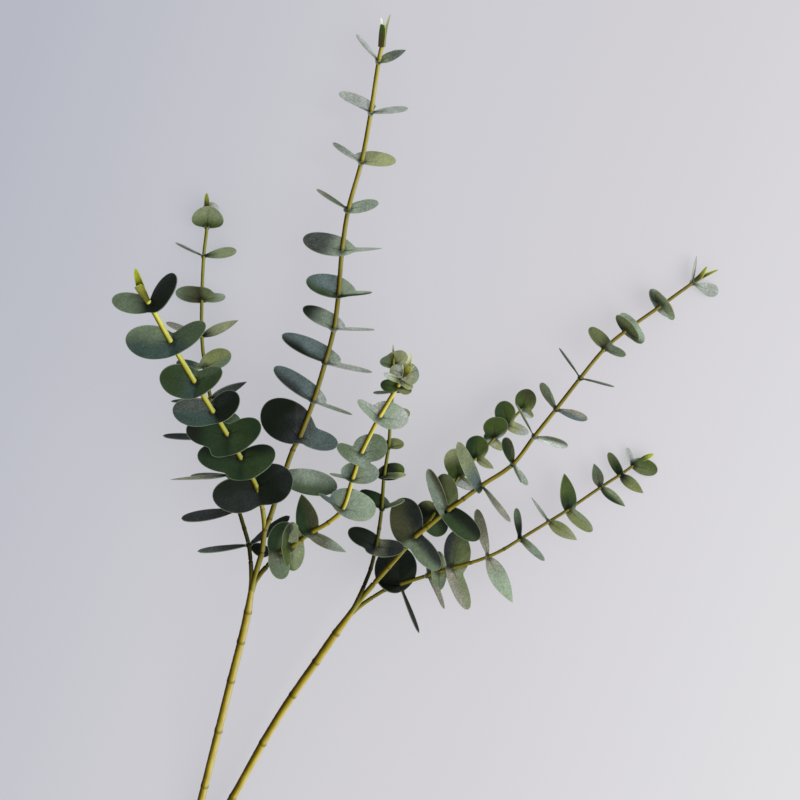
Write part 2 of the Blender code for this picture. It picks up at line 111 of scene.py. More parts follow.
FLOOR_HALF = 3.0
FLOOR_DROP = 0.0002
FLOOR_GLOW = 0.65

# The floor's colour, from far left of the middle to far right of it, in metres: painted light,
# lighter towards the right and the bottom. The line between two colours leans by FLOOR_LEAN.
# The floor gives off FLOOR_GLOW of its colour as light, so that shadows on it stay as faint
# as the photo's.
FLOOR_LEAN = 0.35
FLOOR_COLOURS = (
    (-0.5, (0.475, 0.490, 0.555)), (-0.2, (0.590, 0.585, 0.625)),
    (0.1, (0.635, 0.620, 0.650)), (0.4, (0.705, 0.695, 0.715)),
)
SKY_COLOUR = (0.97, 0.98, 1.0)
SKY_STRENGTH = 0.74
KEY_PLACE = (1.0, -0.6, 1.7)
KEY_SIZE = 1.8
KEY_POWER = 24.0
SENSOR = 36.0

# A blade's mesh: the columns of faces along each side of its margin, the rows from the stem
# out to it, the samples that space the columns evenly, and the halvings that find a margin.
BLADE_COLUMNS = 30
BLADE_ROWS = 12
MARGIN_SAMPLES = 90
MARGIN_HALVINGS = 16

# Leaves grow together round a collar that is this much wider than the stem. A higher blend
# keeps their joint margin closer to their own, and the waver makes it ragged. Two leaves
# whose directions agree more than PARTING aren't grown together.
COLLAR_WIDTH = 0.9
MARGIN_BLEND = 7
MARGIN_WAVER = 0.05
WAVER_PITCH = 1.7
PARTING = 0.4
LEAF_PARTING_SHARE = 0.7

# A blade crosses its stem over this length, this far past their joint, and clears it with
# this slope. Behind the stem it lies DEPTH_BEHIND radii deep, and before it GAP_BEFORE clear.
CROSSING = 3.0
CROSSING_PAST = 0.6
CLEARING_SLOPE = 0.8
DEPTH_BEHIND = 0.3
GAP_BEFORE = 0.5

# A blade's thickness, fold, arch, midrib groove and the wave of its margin.
BLADE_THICKNESS = 0.5
FOLD = 0.16
FOLD_ROUNDING = 1.2
ARCH = 0.05
GROOVE_DEPTH = 0.35
GROOVE_HALF = 0.8
WAVE_SHARE = 0.02
WAVES = 5
VEIN_SPACING = 0.0031
VEIN_SLANT = 0.9

# A leaf's second tone: where it sets in along the leaf, how steeply, and how unevenly. Then
# how much a whole leaf's tone may vary.
TIP_TONE_FROM = 0.62
HEEL_TONE_TO = 0.30
SIDE_TONE_SHARE = 0.6
TONE_STEEPNESS = 1.7
TONE_WANDER = 0.16
WANDER_PITCH = 90
TONE_VARIATION = 0.12

# The attributes that each finish reads, and their kinds.
BARK_ATTRIBUTES = {
    "grain": "float_vector", "painted_lighting": "float", "jointed": "float", "sawn": "float",
    "bright": "float", "youth": "float",
}
BLADE_ATTRIBUTES = {"tone": "float_color", "blade": "float_vector", "under": "float"}
YOUNG_ATTRIBUTES = {"tone": "float_color", "edge": "float", "inside": "float"}

# Edges sharper than this many degrees stay sharp, and points closer than this many metres
# are one.
SHARP_EDGE = 50
SAME_PLACE = 1e-6

# Leaf tones in linear colour, each with how dusty it is. They are matched to the photo, so
# they hold some of its light and shade, such as the near black of its lower left leaves.
TONES = {
    "black_green": (0.004, 0.0075, 0.003, 0.05),
    "ink": (0.009, 0.013, 0.011, 0.25),
    "teal": (0.028, 0.051, 0.041, 0.3),
    "deep_green": (0.012, 0.028, 0.009, 0.08),
    "forest": (0.026, 0.048, 0.016, 0.12),
    "moss": (0.058, 0.089, 0.045, 0.2),
    "grey_green": (0.101, 0.136, 0.082, 0.25),
    "fresh_green": (0.048, 0.074, 0.015, 0.05),
    "dark_olive": (0.042, 0.045, 0.019, 0.2),
    "olive": (0.094, 0.114, 0.045, 0.15),
    "bright_olive": (0.157, 0.180, 0.066, 0.1),
    "grey_olive": (0.083, 0.089, 0.054, 0.45),
    "olive_grey": (0.167, 0.197, 0.106, 0.35),
    "pale_olive": (0.235, 0.251, 0.145, 0.25),
    "pale_lime": (0.302, 0.325, 0.157, 0.1),
    "charcoal": (0.019, 0.022, 0.023, 0.5),
    "dark_slate": (0.045, 0.053, 0.046, 0.7),
    "slate": (0.074, 0.092, 0.078, 0.6),
    "blue_slate": (0.087, 0.122, 0.117, 0.4),
    "sage": (0.183, 0.227, 0.173, 0.5),
    "mint": (0.247, 0.311, 0.220, 0.25),
    "dusty": (0.208, 0.201, 0.157, 0.7),
    "silver": (0.311, 0.340, 0.302, 0.6),
    "frost": (0.437, 0.471, 0.442, 0.4),
    "young_black": (0.006, 0.006, 0.001, 0.0),
    "young_dark": (0.040, 0.034, 0.001, 0.0),
    "young_tan": (0.180, 0.155, 0.055, 0.0),
    "young_green": (0.035, 0.062, 0.002, 0.0),
    "young_olive": (0.120, 0.118, 0.008, 0.0),
    "young_lime": (0.230, 0.240, 0.022, 0.0),
    "young_bright": (0.330, 0.370, 0.012, 0.0),
    "young_pale": (0.330, 0.350, 0.140, 0.0),
    "young_cream": (0.620, 0.650, 0.380, 0.0),
    "young_white": (0.800, 0.820, 0.790, 0.0),
}

TRUNK_ROUTE = [(-191, -432, 3.99), (-181, -405, 7), (-172, -379, 11)]
LEFT_ARM_ROUTE = [
    (-172, -379, 11), (-166.5, -352, 16), (-160.3, -325, 22), (-156.3, -309, 25),
    (-145.3, -265, 36), (-135.3, -225, 46), (-127.3, -194, 53), (-121.8, -170, 58),
    (-118.5, -150, 62),
]
RIGHT_ARM_ROUTE = [
    (-172, -379, 11), (-157.5, -355, 15), (-134, -318, 22), (-110, -275, 31),
    (-98, -255, 36), (-86, -236.5, 40), (-67.5, -210, 46), (-51.5, -187, 51),
    (-38, -168.5, 54),
]
LEFT_RINGS = LEFT_ARM_ROUTE[3:8]
RIGHT_RINGS = [RIGHT_ARM_ROUTE[2], RIGHT_ARM_ROUTE[3]] + RIGHT_ARM_ROUTE[5:8]

# The fork where each leafy twig starts: what bears it, its diameter and its route.
FORKS = {
    "twig_back_left": ("main_stem", 3.6, [
        (-121, -164, 59), (-119, -146, 62), (-119, -137, 62), (-119.5, -128, 61)]),
    "twig_tall": ("main_stem", 4.4, [
        (-121, -164, 59), (-117, -145, 63), (-113.5, -132, 65), (-110.1, -121.5, 66)]),
    "twig_middle": ("main_stem", 4.0, [
        (-121, -164, 59), (-116.5, -147, 62), (-112, -139.5, 64), (-106.5, -133, 66)]),
    "twig_inner": ("main_stem", 3.4, [
        (-45.5, -178.5, 52.5), (-38, -167.5, 55), (-33, -158, 57), (-28.5, -148, 59)]),
    "twig_upper_right": ("main_stem", 4.4, [
        (-45.5, -178.5, 52.5), (-37.5, -167.5, 54), (-29.5, -157, 55), (-20.5, -146.5, 56)]),
    "twig_lower_right": ("main_stem", 3.4, [
        (-45.5, -178.5, 52.5), (-37, -169.5, 52), (-30, -163.5, 50.5), (-21.5, -157.5, 49)]),
    "twig_front_left": ("twig_tall", 3.8, [
        (-108.5, -108, 66.7), (-108.5, -100, 67.5), (-109.3, -92, 69), (-110.1, -86, 70.4)]),
    "twig_short_back": ("twig_upper_right", 2.8, [
        (11.4, -109.9, 60), (16.9, -103.4, 57.5), (21.4, -98.9, 55.5), (24.9, -94.5, 53.7)]),
}

# A blade's outline is two powers: how blunt it is at its base, and at its tip.
ROUND = (0.55, 0.5)
SPOON = (0.8, 0.5)
POINTED = (0.65, 0.95)
DROP = (0.5, 0.9)
CAP = (0.3, 0.6)
PADDLE = (1.4, 0.5)

# A twig's stops run from its foot to its tip: a place, and the leaves that grow there.
# A leaf is its tip as seen (x, y), the tip's rise over the stop, the blade's width, and
# how far the blade is turned: edge-on at 0, facing the eye at 90, edge-on again at 180.
# Some leaves then give their heel (x, y), where the blade starts past the stem, or an
# outline of their own. Last comes the finish: a tone, a second tone, and the end or side
# that the second one takes, looking along the leaf from its heel. Both tones hold painted
# light and shade as well as the leaf's own colour.
FRONT_LEFT = [
    ((-114.5, -70, 85), [
        (-150, -77, 4, 31, 65, -107, -75, "ink black_green right"),
        (-90, -55, 2, 33, 75, -116, -80, "black_green ink tip"),
    ]),
    ((-127, -47, 102), [
        (-161.5, -44, 4, 27, 60, -121, -48, "deep_green black_green right"),
        (-101, -39.5, 2, 26, 65, -137.5, -61, "black_green forest right"),
    ]),
    ((-138, -28, 118), [
        (-171.5, -23, 4, 27, 60, -132, -29, "deep_green black_green tip"),
        (-113, -17.5, 2, 26, 65, -151, -43, "forest deep_green tip"),
    ]),
    ((-149, -10, 134), [
        (-182.5, -8, 4, 26, 60, -143, -12, "dark_slate teal left"),
        (-130, 6, 2, 22, 65, -153, -17, "ink black_green right"),
    ]),
    ((-164, 14, 152), [
        (-192.5, 18, 4, 29, 65, -155, 12, "forest teal heel"),
        (-143, 25.5, 2, 19, 60, -173, 3, "moss forest right"),
    ]),
    ((-183, 46, 172), [
        (-219, 49, 4, 30, 65, -176, 43, "teal grey_green right"),
        (-156.5, 61.5, 2, 19, 60, -188, 38, "moss teal heel"),
    ]),
    ((-200.5, 77, 192), [
        (-231, 80.5, 4, 18, 65, -196, 74, "grey_green black_green heel"),
        (-181, 101, 2, 17, 60, -199, 70, "ink black_green right"),
    ]),
    ((-207.5, 88.5, 200), []),
]
BACK_LEFT = [
    ((-121, -116, 59), [
        (-162.5, -121, -4, 10, 150, "charcoal slate tip"),
        (-104, -123, -12, 12, 60, "black_green ink tip"),
        (-88.5, -93, -3, 9, 60, "charcoal ink tip"),
    ]),
    ((-124.5, -103, 57), []),
    ((-129, -88, 54), [
        (-175.5, -95, 0, 14, 140, "charcoal black_green heel"),
        (-112, -79, -12, 10, 40, "slate forest heel"),
    ]),
    ((-137, -60, 48), [
        (-184, -63.5, -4, 6, 150, POINTED, "dusty black_green heel"),
        (-168, -61, -8, 8, 140, "slate forest heel"),
        (-112, -52, -12, 14, 40, "olive_grey olive heel"),
    ]),
    ((-145, -30, 42), [
        (-190, -28.5, -2, 9, 145, "charcoal black_green heel"),
        (-130, -13, -10, 19, 70, "grey_green forest left"),
    ]),
    ((-151.5, 1, 36), [
        (-184, -1, -6, 6, 150, "dark_slate charcoal tip"),
        (-122.5, 14.5, -4, 10, 130, POINTED, "dark_slate charcoal tip"),
    ]),
    ((-156, 26, 30), [
        (-179, 30, -6, 12, 140, "teal olive_grey heel"),
        (-135, 37, -8, 16, 75, -160, 28, "bright_olive grey_green right"),
    ]),
    ((-158.5, 51, 25), [
        (-187, 62, -8, 8, 140, "dusty grey_olive heel"),
        (-128.5, 64, -6, 10, 125, POINTED, "pale_olive deep_green heel"),
    ]),
    ((-158.5, 80, 20), [
        (-179.5, 86, 5, 15, 115, -147, 83, "dark_olive grey_green tip"),
        (-139.5, 83, -8, 9, 50, "olive mint tip"),
    ]),
    ((-157, 115, 16), [
        (-179.5, 126, -4, 5, 155, "slate silver right"),
        (-130.5, 119.5, -6, 11, 130, "olive_grey forest heel"),
    ]),
    ((-154.5, 138, 13), [
        (-153, 155, 12, 25.5, 90, CAP, "olive_grey fresh_green heel"),
        (-150, 158, -12, 14, 90, "pale_olive frost right"),
    ]),
    ((-154.5, 149, 12), []),
]
TALL = [
    ((-108, -104, 67), []),
    ((-104.3, -95, 67), []),
    ((-94.5, -65, 66), [
        (-50, -70, -4, 21, 105, -97, -61, "moss sage left"),
        (-124, -58, -16, 20, 50, "grey_green moss heel"),
    ]),
    ((-85.8, -40, 65), []),
    ((-80.3, -30, 65), [
        (-111, -6, -6, 35, 80, -69, -28, "black_green charcoal heel"),
        (-50, -36, -2, 18, 65, -83, -27, "blue_slate dark_slate heel"),
    ]),
    ((-69.3, -1, 63), [
        (-100.5, 26, -6, 17, 120, -59, -2, "charcoal blue_slate right"),
        (-38, -12, 4, 8, 160, -73.1, 0.3, "sage frost heel"),
    ]),
    ((-59.8, 30, 60), [
        (-94, 52, -6, 17, 120, -47, 31, "black_green blue_slate right"),
        (-22, 22, 4, 8, 150, -63.7, 30.8, "silver sage heel"),
    ]),
    ((-52.8, 57, 57), [
        (-78, 74, -6, 15, 120, -44, 58, "sage black_green tip"),
        (-20, 56, 4, 7, 160, -56.8, 57.1, "silver frost heel"),
    ]),
    ((-49.3, 84, 54), [
        (-75.5, 96, -6, 19, 105, -36, 87, "forest blue_slate right"),
        (-22, 86, 4, 8, 155, -53.3, 83.7, "mint deep_green right"),
    ]),
    ((-46.3, 119.5, 50), [
        (-77.5, 129, -6, 18, 105, -36, 120, "dark_slate sage heel"),
        (-15, 121, 4, 7, 155, -50.3, 119.3, POINTED, "silver mint heel"),
    ]),
    ((-41.3, 152.5, 46), [
        (-67, 169, -4, 7, 150, "grey_green dusty tip"),
        (-17, 158, -4, 11, 120, -45.2, 151.6, "sage mint heel"),
    ]),
    ((-30.8, 190.5, 42), [
        (-54, 206, -4, 8, 145, "silver sage tip"),
        (-3, 191, 4, 13, 115, -37, 195, "pale_lime olive_grey heel"),
    ]),
    ((-23.3, 230, 38), [
        (-49, 246, -4, 11, 130, -19, 234, "silver frost heel"),
        (6, 233, -4, 9, 145, "silver sage heel"),
    ]),
    ((-17, 271, 33), [
        (-35, 293, -4, 7, 150, "frost silver left"),
        (5, 280, -4, 10, 130, POINTED, "slate olive_grey heel"),
    ]),
    ((-15.6, 281.5, 31), []),
]
MIDDLE = [
    ((-96.5, -122.6, 68), [
        (-88.5, -98.5, 2, 25, 75, -99, -127, "deep_green olive_grey right"),
        (-94, -143.5, 2, 17, 80, -100, -117, "grey_green grey_olive heel"),
    ]),
    ((-87, -117.5, 70), [(-85, -137, -4, 19, 75, -86, -98, "fresh_green olive_grey left")]),
    ((-79, -111.6, 71), []),
    ((-70.5, -105.6, 73), [
        (-79, -75, -4, 18.5, 75, -71.5, -110, DROP, "deep_green dark_olive right"),
        (-43, -122, -4, 12, 130, -74, -107, POINTED, "grey_olive sage tip"),
    ]),
    ((-57.5, -98.2, 76), []),
    ((-46, -87.4, 78), [
        (-65, -75, -3, 8, 25, "blue_slate olive_grey heel"),
        (-20, -91, 1, 24, 80, -55.5, -76.5, "mint sage heel"),
    ]),
    ((-38, -63.3, 83), [
        (-57, -59, -3, 6, 25, "sage teal heel"),
        (-17, -59, 1, 18, 80, -47.5, -57.5, "sage olive_grey heel"),
    ]),
    ((-31, -42.8, 87), [
        (-50.8, -35.5, 2, 13, 115, -23.5, -53.5, "grey_green sage heel"),
        (-9.8, -38, -1, 23, 80, -37.5, -38, "grey_green sage heel"),
    ]),
    ((-16.5, -13.8, 92), [
        (-33, 0, 3, 10, 120, -10, -21, "mint silver right"),
        (6.3, -17, -1, 21, 80, -23.5, -7, "mint silver tip"),
    ]),
    ((-2, 10.7, 97), [
        (-15.5, 12.5, -6, 11, 75, 0, 10, "fresh_green deep_green tip"),
        (9.5, 7, -6, 9, 70, "black_green bright_olive right"),
    ]),
    ((1, 16.2, 98.5), [
        (-13, 21, 2, 6, 60, 3, 14, "pale_lime frost tip"),
        (10.5, 9.5, 2, 8, 60, -2, 18, "pale_lime pale_olive heel"),
    ]),
    ((3.5, 20.7, 100), [
        (-8, 25, -3, 11, 70, "silver pale_olive tip"),
        (14.5, 24, -3, 18, 80, 1, 18, "pale_olive sage tip"),
    ]),
    ((4.6, 23, 102.8), []),
]
INNER = [
    ((-23.5, -135, 63), []),
    ((-19.3, -117.5, 68), [
        (-41, -104.5, -2, 16, 110, -16, -116, "black_green ink heel"),
        (3.5, -118, 1, 15, 75, -28, -119, "ink grey_olive heel"),
    ]),
    ((-16.7, -103, 68), []),
    ((-14.7, -87, 67), [
        (-32, -73.5, -2, 12, 110, -8, -85, "deep_green black_green tip"),
        (4, -79.5, 0, 7, 30, "olive grey_green left"),
    ]),
    ((-12.7, -60.5, 65), [
        (4, -55, -3, 14, 80, -19, -60, "black_green fresh_green tip"),
        (5, -59.5, 5, 6, 55, -16, -61, "olive pale_lime tip"),
    ]),
    ((-9.2, -38, 63), [
        (3.5, -35.5, 3, 9, 75, -12, -34, "bright_olive olive_grey heel"),
        (-24, -40, -6, 12, 60, "olive dark_olive heel"),
    ]),
    ((-7.2, -10, 61), [
        (8.5, -11, -2, 9, 70, "olive_grey olive heel"),
        (-20, -8, -6, 10, 60, "olive dark_olive heel"),
    ]),
    ((-5.8, 6.5, 60), [
        (-21.5, 6, -2, 5, 150, "grey_green moss heel"),
        (10, 9.5, -3, 7, 45, "olive dark_olive heel"),
    ]),
    ((-5.4, 27, 59), [
        (-15.7, 30.2, 1, 9, 110, -1, 31, "olive grey_green tip"),
        (6, 36, 3, 13, 80, -13, 28.5, "pale_lime black_green heel"),
    ]),
    ((-5.2, 34.4, 57), []),
]
UPPER_RIGHT = [
    ((-9.6, -134, 57), []),
    ((4.9, -117.4, 58.5), []),
    ((11.4, -109.9, 60), [
        (2.5, -78.5, -6, 27, 80, 8, -118, "dark_olive ink right"),
        (31.5, -135.5, -2, 17.5, 80, 7, -106, "ink grey_green right"),
    ]),
    ((21.4, -101.9, 60), []),
    ((37.9, -88.4, 60), [
        (22, -54.5, 4, 14, 55, 38.5, -98, "sage dark_olive right"),
        (33, -59, -5, 17, 75, 42.5, -86, "olive black_green left"),
        (63.5, -112, 2, 18.5, 80, 35, -86, "black_green forest right"),
    ]),
    ((50.4, -79.4, 60), []),
    ((65.4, -68.4, 58), [
        (46.5, -33.5, 4, 13, 125, 64.5, -75, "olive_grey blue_slate heel"),
        (88.5, -97.5, -3, 8, 40, "dusty forest heel"),
    ]),
    ((90.4, -51.4, 55), [
        (84, -30, 2, 10, 70, "deep_green dark_olive right"),
        (102.5, -68.5, -6, 7, 50, "silver sage tip"),
        (97.5, -66.5, 2, 4, 20, "slate forest heel"),
    ]),
    ((107.4, -29.4, 51), [
        (93.5, -4.5, 3, 5, 20, "olive_grey olive heel"),
        (134.5, -37, -6, 9, 125, "grey_olive frost right"),
    ]),
    ((124.9, -7.4, 46), [
        (112.5, 13.5, 4, 9, 55, "grey_olive grey_green right"),
        (150, -15.5, -2, 9, 125, "blue_slate dusty left"),
    ]),
    ((144.4, 17.6, 40), [
        (127.5, 41, 3, 5, 20, "slate forest heel"),
        (171, 10.5, -4, 5, 160, "slate forest heel"),
    ]),
    ((163.4, 40.6, 33), [
        (151.5, 58, 2, 11.5, 110, 170, 39.5, "olive dark_olive heel"),
        (181, 35.5, -4, 8, 60, 164, 43, "grey_green grey_olive heel"),
    ]),
    ((180.4, 55.1, 28), [
        (190.4, 47.6, -2, 15.6, 143, 173, 67.6, "olive black_green right"),
        (194.5, 45.5, -3, 18, 41, 176.5, 69.5, "mint dark_olive right"),
    ]),
    ((208.4, 75.1, 19), [
        (219, 64.2, -2, 14.6, 143, 203.2, 87.2, "olive_grey mint right"),
        (216, 67, -3, 17, 41, 200.3, 88.8, "silver sage heel"),
    ]),
    ((233.8, 93.4, 10.4), [
        (237.5, 115, -2, 5, 155, POINTED, "frost dusty right"),
        (254.3, 85.5, -14, 10.5, 90, 235, 94, PADDLE, "silver mint heel"),
    ]),
    ((237.2, 96.1, 10.4), []),
]
LOWER_RIGHT = [
    ((-12, -152, 48), []),
    ((0, -147.4, 46), [
        (-2, -117, -6, 35, 80, -5, -154.5, "black_green ink tip"),
        (15.5, -186.5, 2, 8, 25, "black_green ink tip"),
    ]),
    ((22, -140.4, 44), [(35.5, -167, 2, 8, 35, 20.5, -127, "dusty olive_grey heel")]),
    ((31, -137.6, 43), [(31.5, -152, -4, 13, 80, 31, -121, "grey_green olive_grey heel")]),
    ((42, -134.4, 42), [
        (45, -103.5, -6, 22, 80, 46.5, -140, "charcoal olive right"),
        (54.8, -167.5, 2, 14, 70, 38, -127, "olive_grey dusty right"),
    ]),
    ((56, -130.4, 40), []),
    ((70.5, -125.4, 38), [
        (61.5, -87, -2, 10, 120, "grey_olive dusty heel"),
        (90, -161.8, 2, 16, 60, POINTED, "mint dusty heel"),
    ]),
    ((83, -119.4, 36), []),
    ((96, -111.4, 34), [
        (93, -86, -3, 7, 60, "ink grey_green tip"),
        (115.5, -128.5, -2, 8, 130, 94, -108, "sage olive heel"),
    ]),
    ((119, -97.4, 29), [
        (105.5, -78, -3, 6, 155, DROP, "silver sage heel"),
        (141.5, -112, 2, 11, 110, POINTED, "bright_olive pale_olive tip"),
    ]),
    ((135, -87.4, 25), [
        (131.5, -59, 2, 13, 100, 136.5, -90, DROP, "fresh_green deep_green heel"),
        (154, -105.5, 2, 11, 70, 132, -86, "olive_grey bright_olive right"),
    ]),
    ((160.5, -69.9, 19), [
        (155, -50.5, -3, 9, 80, POINTED, "grey_olive grey_green tip"),
        (180.5, -85.5, 1, 9, 120, POINTED, "deep_green olive_grey left"),
    ]),
    ((176, -59.9, 14), [
        (166.5, -41.5, -3, 9, 60, 178, -62, "deep_green olive tip"),
        (194.5, -74.5, 1, 10, 115, POINTED, "bright_olive black_green heel"),
    ]),
    ((186.5, -52.4, 10), [
        (181.5, -38.2, -3, 5, 60, "frost deep_green heel"),
        (205.8, -57.3, -13.5, 13, 90, 184.2, -49.6, "fresh_green olive right"),
    ]),
    ((190.8, -49, 10.8), []),
]
SHORT_BACK = [
    ((28, -89.8, 52), [
        (17, -81.5, -4, 20, 75, 28, -103, "black_green bright_olive right"),
        (34, -108.5, -10, 20, 75, 22, -86, "black_green forest right"),
    ]),
    ((42, -69.3, 48), []),
    ((47.5, -61.3, 46), [
        (42, -39.5, -2, 20, 80, 49, -63, "fresh_green pale_lime tip"),
        (60, -71, -3, 10, 60, 38.5, -60, "bright_olive frost right"),
    ]),
    ((61, -46.3, 42), [
        (60.3, -28.3, -2, 18.5, 80, 62.8, -48, "deep_green fresh_green right"),
        (75, -55, -3, 8, 120, POINTED, "pale_lime bright_olive heel"),
    ]),
    ((76, -30.3, 38), [
        (75, -13.3, -2, 20, 80, 78, -31, "fresh_green deep_green heel"),
        (83, -39.5, -3, 9, 60, 67, -28, "pale_lime frost heel"),
    ]),
    ((86, -19.8, 34), [
        (82.3, -1.3, -2, 17, 80, 86, -20.5, "forest fresh_green right"),
        (102.8, -26.5, -3, 9.5, 65, 82, -18, "pale_lime frost tip"),
    ]),
    ((97.5, -7.3, 30), [
        (102.3, 9, -1, 17.5, 80, 99, -10, "fresh_green dark_olive tip"),
        (106.5, -13.5, -3, 7, 60, "bright_olive frost right"),
    ]),
    ((99.6, -5.2, 27.8), []),
]

# Each leafy twig: its name, foot and tip diameters, blade outline, how many of its stops
# turn their blades' faces to the eye, counted from its foot, how bright its bark is in the
# photo at its foot, middle and tip, kept as painted light and shade, how green its bark is,
# and its stops.
TWIGS = [
    ("twig_front_left", 3.8, 3.6, ROUND, 8, (0.6, 0.85, 1.15), 0.8, FRONT_LEFT),
    ("twig_back_left", 3.4, 2.8, SPOON, 0, (0.04, 0.36, 0.52), 0.9, BACK_LEFT),
    ("twig_tall", 4.2, 3.7, SPOON, 15, (0.42, 0.42, 0.88), 0.2, TALL),
    ("twig_middle", 3.8, 3.2, ROUND, 13, (0.18, 1.15, 1.2), 0.3, MIDDLE),
    ("twig_inner", 3.2, 2.4, SPOON, 10, (0.01, 0.34, 0.62), 0.9, INNER),
    ("twig_upper_right", 4.2, 2.8, SPOON, 11, (0.5, 0.5, 0.42), 0.2, UPPER_RIGHT),
    ("twig_lower_right", 3.2, 2.4, SPOON, 8, (0.34, 0.42, 0.38), 0.3, LOWER_RIGHT),
    ("twig_short_back", 2.6, 2.0, ROUND, 0, (0.5, 0.6, 0.6), 1.0, SHORT_BACK),
]

# Each bud: its name, its twig, where its young leaves start, where they point, and the young
# leaves. Each of those is its tip, how far its back is turned, from 0 at the right through 90
# towards the eye, half its width at its foot and at its widest, how far it wraps round at its
# foot and at its tip, how blunt its tip is, and its tone at its foot and at its tip.
# The darkest foot tones (young_black, young_dark) are painted shade deep inside the bud.
BUDS = [
    ("bud_front_left", "twig_front_left", (-202.1, 79.7, 194.2), (-210, 92.5, 203.5), [
        (-211.8, 105.6, 208.5, -80, 2.3, 3.7, 100, 30, 3.0, "young_dark", "young_bright"),
        (-210.2, 91.4, 206.5, 100, 2.4, 3.6, 95, 70, 14.0, "young_olive", "young_lime"),
    ]),
    ("bud_back_left", "twig_back_left", (-154.6, 149.5, 12), (-154.6, 165, 13), [
        (-154.6, 164.5, 11, -90, 1.7, 2.1, 100, 40, 4.0, "young_dark", "young_olive"),
        (-154.6, 165.8, 15, 90, 1.8, 2.4, 95, 40, 3.0, "young_black", "young_lime"),
    ]),
    ("bud_tall", "twig_tall", (-14.6, 282.5, 31), (-13.8, 298, 31), [
        (-15.0, 305.0, 30, -90, 1.8, 2.5, 100, 60, 4.0, "young_white", "young_white"),
        (-15.0, 306.3, 32, 90, 1.8, 2.5, 100, 60, 4.0, "young_white", "young_white"),
        (-7.4, 309, 32, 20, 2.9, 3.3, 100, 30, 2.2, "young_tan", "young_pale"),
        (-15.2, 301, 33, 140, 3.0, 3.5, 100, 80, 10.0, "young_dark", "young_green"),
    ]),
    ("bud_middle", "twig_middle", (3.0, 19.0, 101.5), (7.6, 27.3, 106.5), [
        (9.0, 38.0, 108, -80, 2.2, 2.5, 100, 30, 2.5, "young_pale", "young_cream"),
        (1.8, 28.2, 108, 175, 2.2, 1.5, 60, 15, 1.3, "young_olive", "young_cream"),
        (12.8, 28.0, 108, -5, 2.2, 1.5, 60, 15, 1.3, "young_cream", "young_cream"),
        (7.1, 27.2, 109.5, 110, 2.3, 3.2, 95, 70, 14.0, "young_dark", "young_lime"),
    ]),
    ("bud_inner", "twig_inner", (-5.3, 32.5, 57), (-5.4, 43, 56.4), [
        (-5.5, 42.5, 55.4, -90, 1.1, 0.9, 100, 40, 1.3, "young_olive", "olive_grey"),
        (-5.5, 44.6, 57, 90, 1.1, 1.1, 95, 40, 1.3, "young_dark", "olive_grey"),
    ]),
    ("bud_upper_right", "twig_upper_right", (235.6, 94.8, 10.4), (246, 102.3, 10), [
        (254.8, 104.2, 9, -50, 2.0, 2.5, 105, 30, 1.5, "young_dark", "young_bright"),
        (245.6, 107, 11, 130, 2.1, 3.0, 105, 40, 1.8, "young_dark", "young_bright"),
    ]),
    ("bud_lower_right", "twig_lower_right", (190.6, -48.6, 10.8), (202.7, -43.6, 12), [
        (201.8, -44.6, 11, -90, 1.2, 2.1, 100, 40, 2.4, "young_green", "young_bright"),
        (203, -43.2, 13.4, 90, 1.3, 2.5, 90, 40, 2.4, "young_green", "young_bright"),
    ]),
    ("bud_short_back", "twig_short_back", (98.4, -6.4, 28), (101, 1, 27), [
        (101, 1, 26, -90, 1.0, 1.0, 100, 40, 2.0, "young_dark", "young_lime"),
        (101.4, 2.2, 28, 90, 1.0, 1.1, 95, 40, 2.0, "young_dark", "young_lime"),
    ]),
]


def seen_scale(height):
    """How much smaller a length really is than it looks on the reference plane."""
    return (EYE_HEIGHT - height) / (EYE_HEIGHT - REFERENCE_HEIGHT)


def seen_at(place):
    """The real place, in metres, of what the eye sees at (x, y) and that lies at height z."""
    x, y, height = place
    scale = seen_scale(height)
    return Vector((x * scale - CENTRE_X, y * scale - CENTRE_Y, height)) * MM


def eased(value):
    """A smooth step from 0 to 1 while value goes from 0 to 1."""
    value = min(max(value, 0.0), 1.0)
    return value * value * (3 - 2 * value)


def way(angle):
    """The direction at an angle in the picture's plane."""
    return Vector((math.cos(angle), math.sin(angle)))


def right_of(direction):
    return Vector((direction.y, -direction.x))


def new_form(attributes):
    """An empty mesh with the attributes that its finish reads."""
    form = bmesh.new()
    for name, kind in attributes.items():
        getattr(form.verts.layers, kind).new(name)
    return form


def layers_of(form, attributes):
    return [getattr(form.verts.layers, kind)[name] for name, kind in attributes.items()]


def closed_grid(form, grid):
    """The faces of a grid that has been rolled up, once its seam is merged."""
    bmesh.ops.remove_doubles(form, verts=grid, dist=SAME_PLACE)
    kept = [vertex for vertex in grid if vertex.is_valid]
    return list(dict.fromkeys(face for vertex in kept for face in vertex.link_faces))


def thicken(form, faces, thickness, back):
    """Give faces a second skin above the ground, marked in the layer back."""
    skin = bmesh.ops.solidify(form, geom=faces, thickness=thickness * MM)["geom"]
    for part in skin:
        if isinstance(part, bmesh.types.BMVert):
            part[back] = 1.0
            part.co.z = max(part.co.z, 0.0)
    sides = [part for part in skin if isinstance(part, bmesh.types.BMFace)]
    bmesh.ops.recalc_face_normals(form, faces=list(dict.fromkeys(faces + sides)))


def add_piece(name, form, material, slot, *nodes):
    """Make a finished piece of a bmesh: smooth, with sharp rims, and riding on the root."""
    mesh = bpy.data.meshes.new(name)
    form.to_mesh(mesh)
    form.free()
    mesh.polygons.foreach_set("use_smooth", [True] * len(mesh.polygons))
    mesh.set_sharp_from_angle(angle=math.radians(SHARP_EDGE))
    mesh.materials.append(material)
    piece = bpy.data.objects.new(name, mesh)
    bpy.context.scene.collection.objects.link(piece)
    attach(piece, "root")
    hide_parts(*nodes)


def end_of(places):
    """Where the next piece starts past a route's end, and the direction of that end."""
    end = seen_at(places[-1])
    lead = (end - seen_at(places[-2])).normalized()
    return end + lead * SEAT_GAP * MM, lead


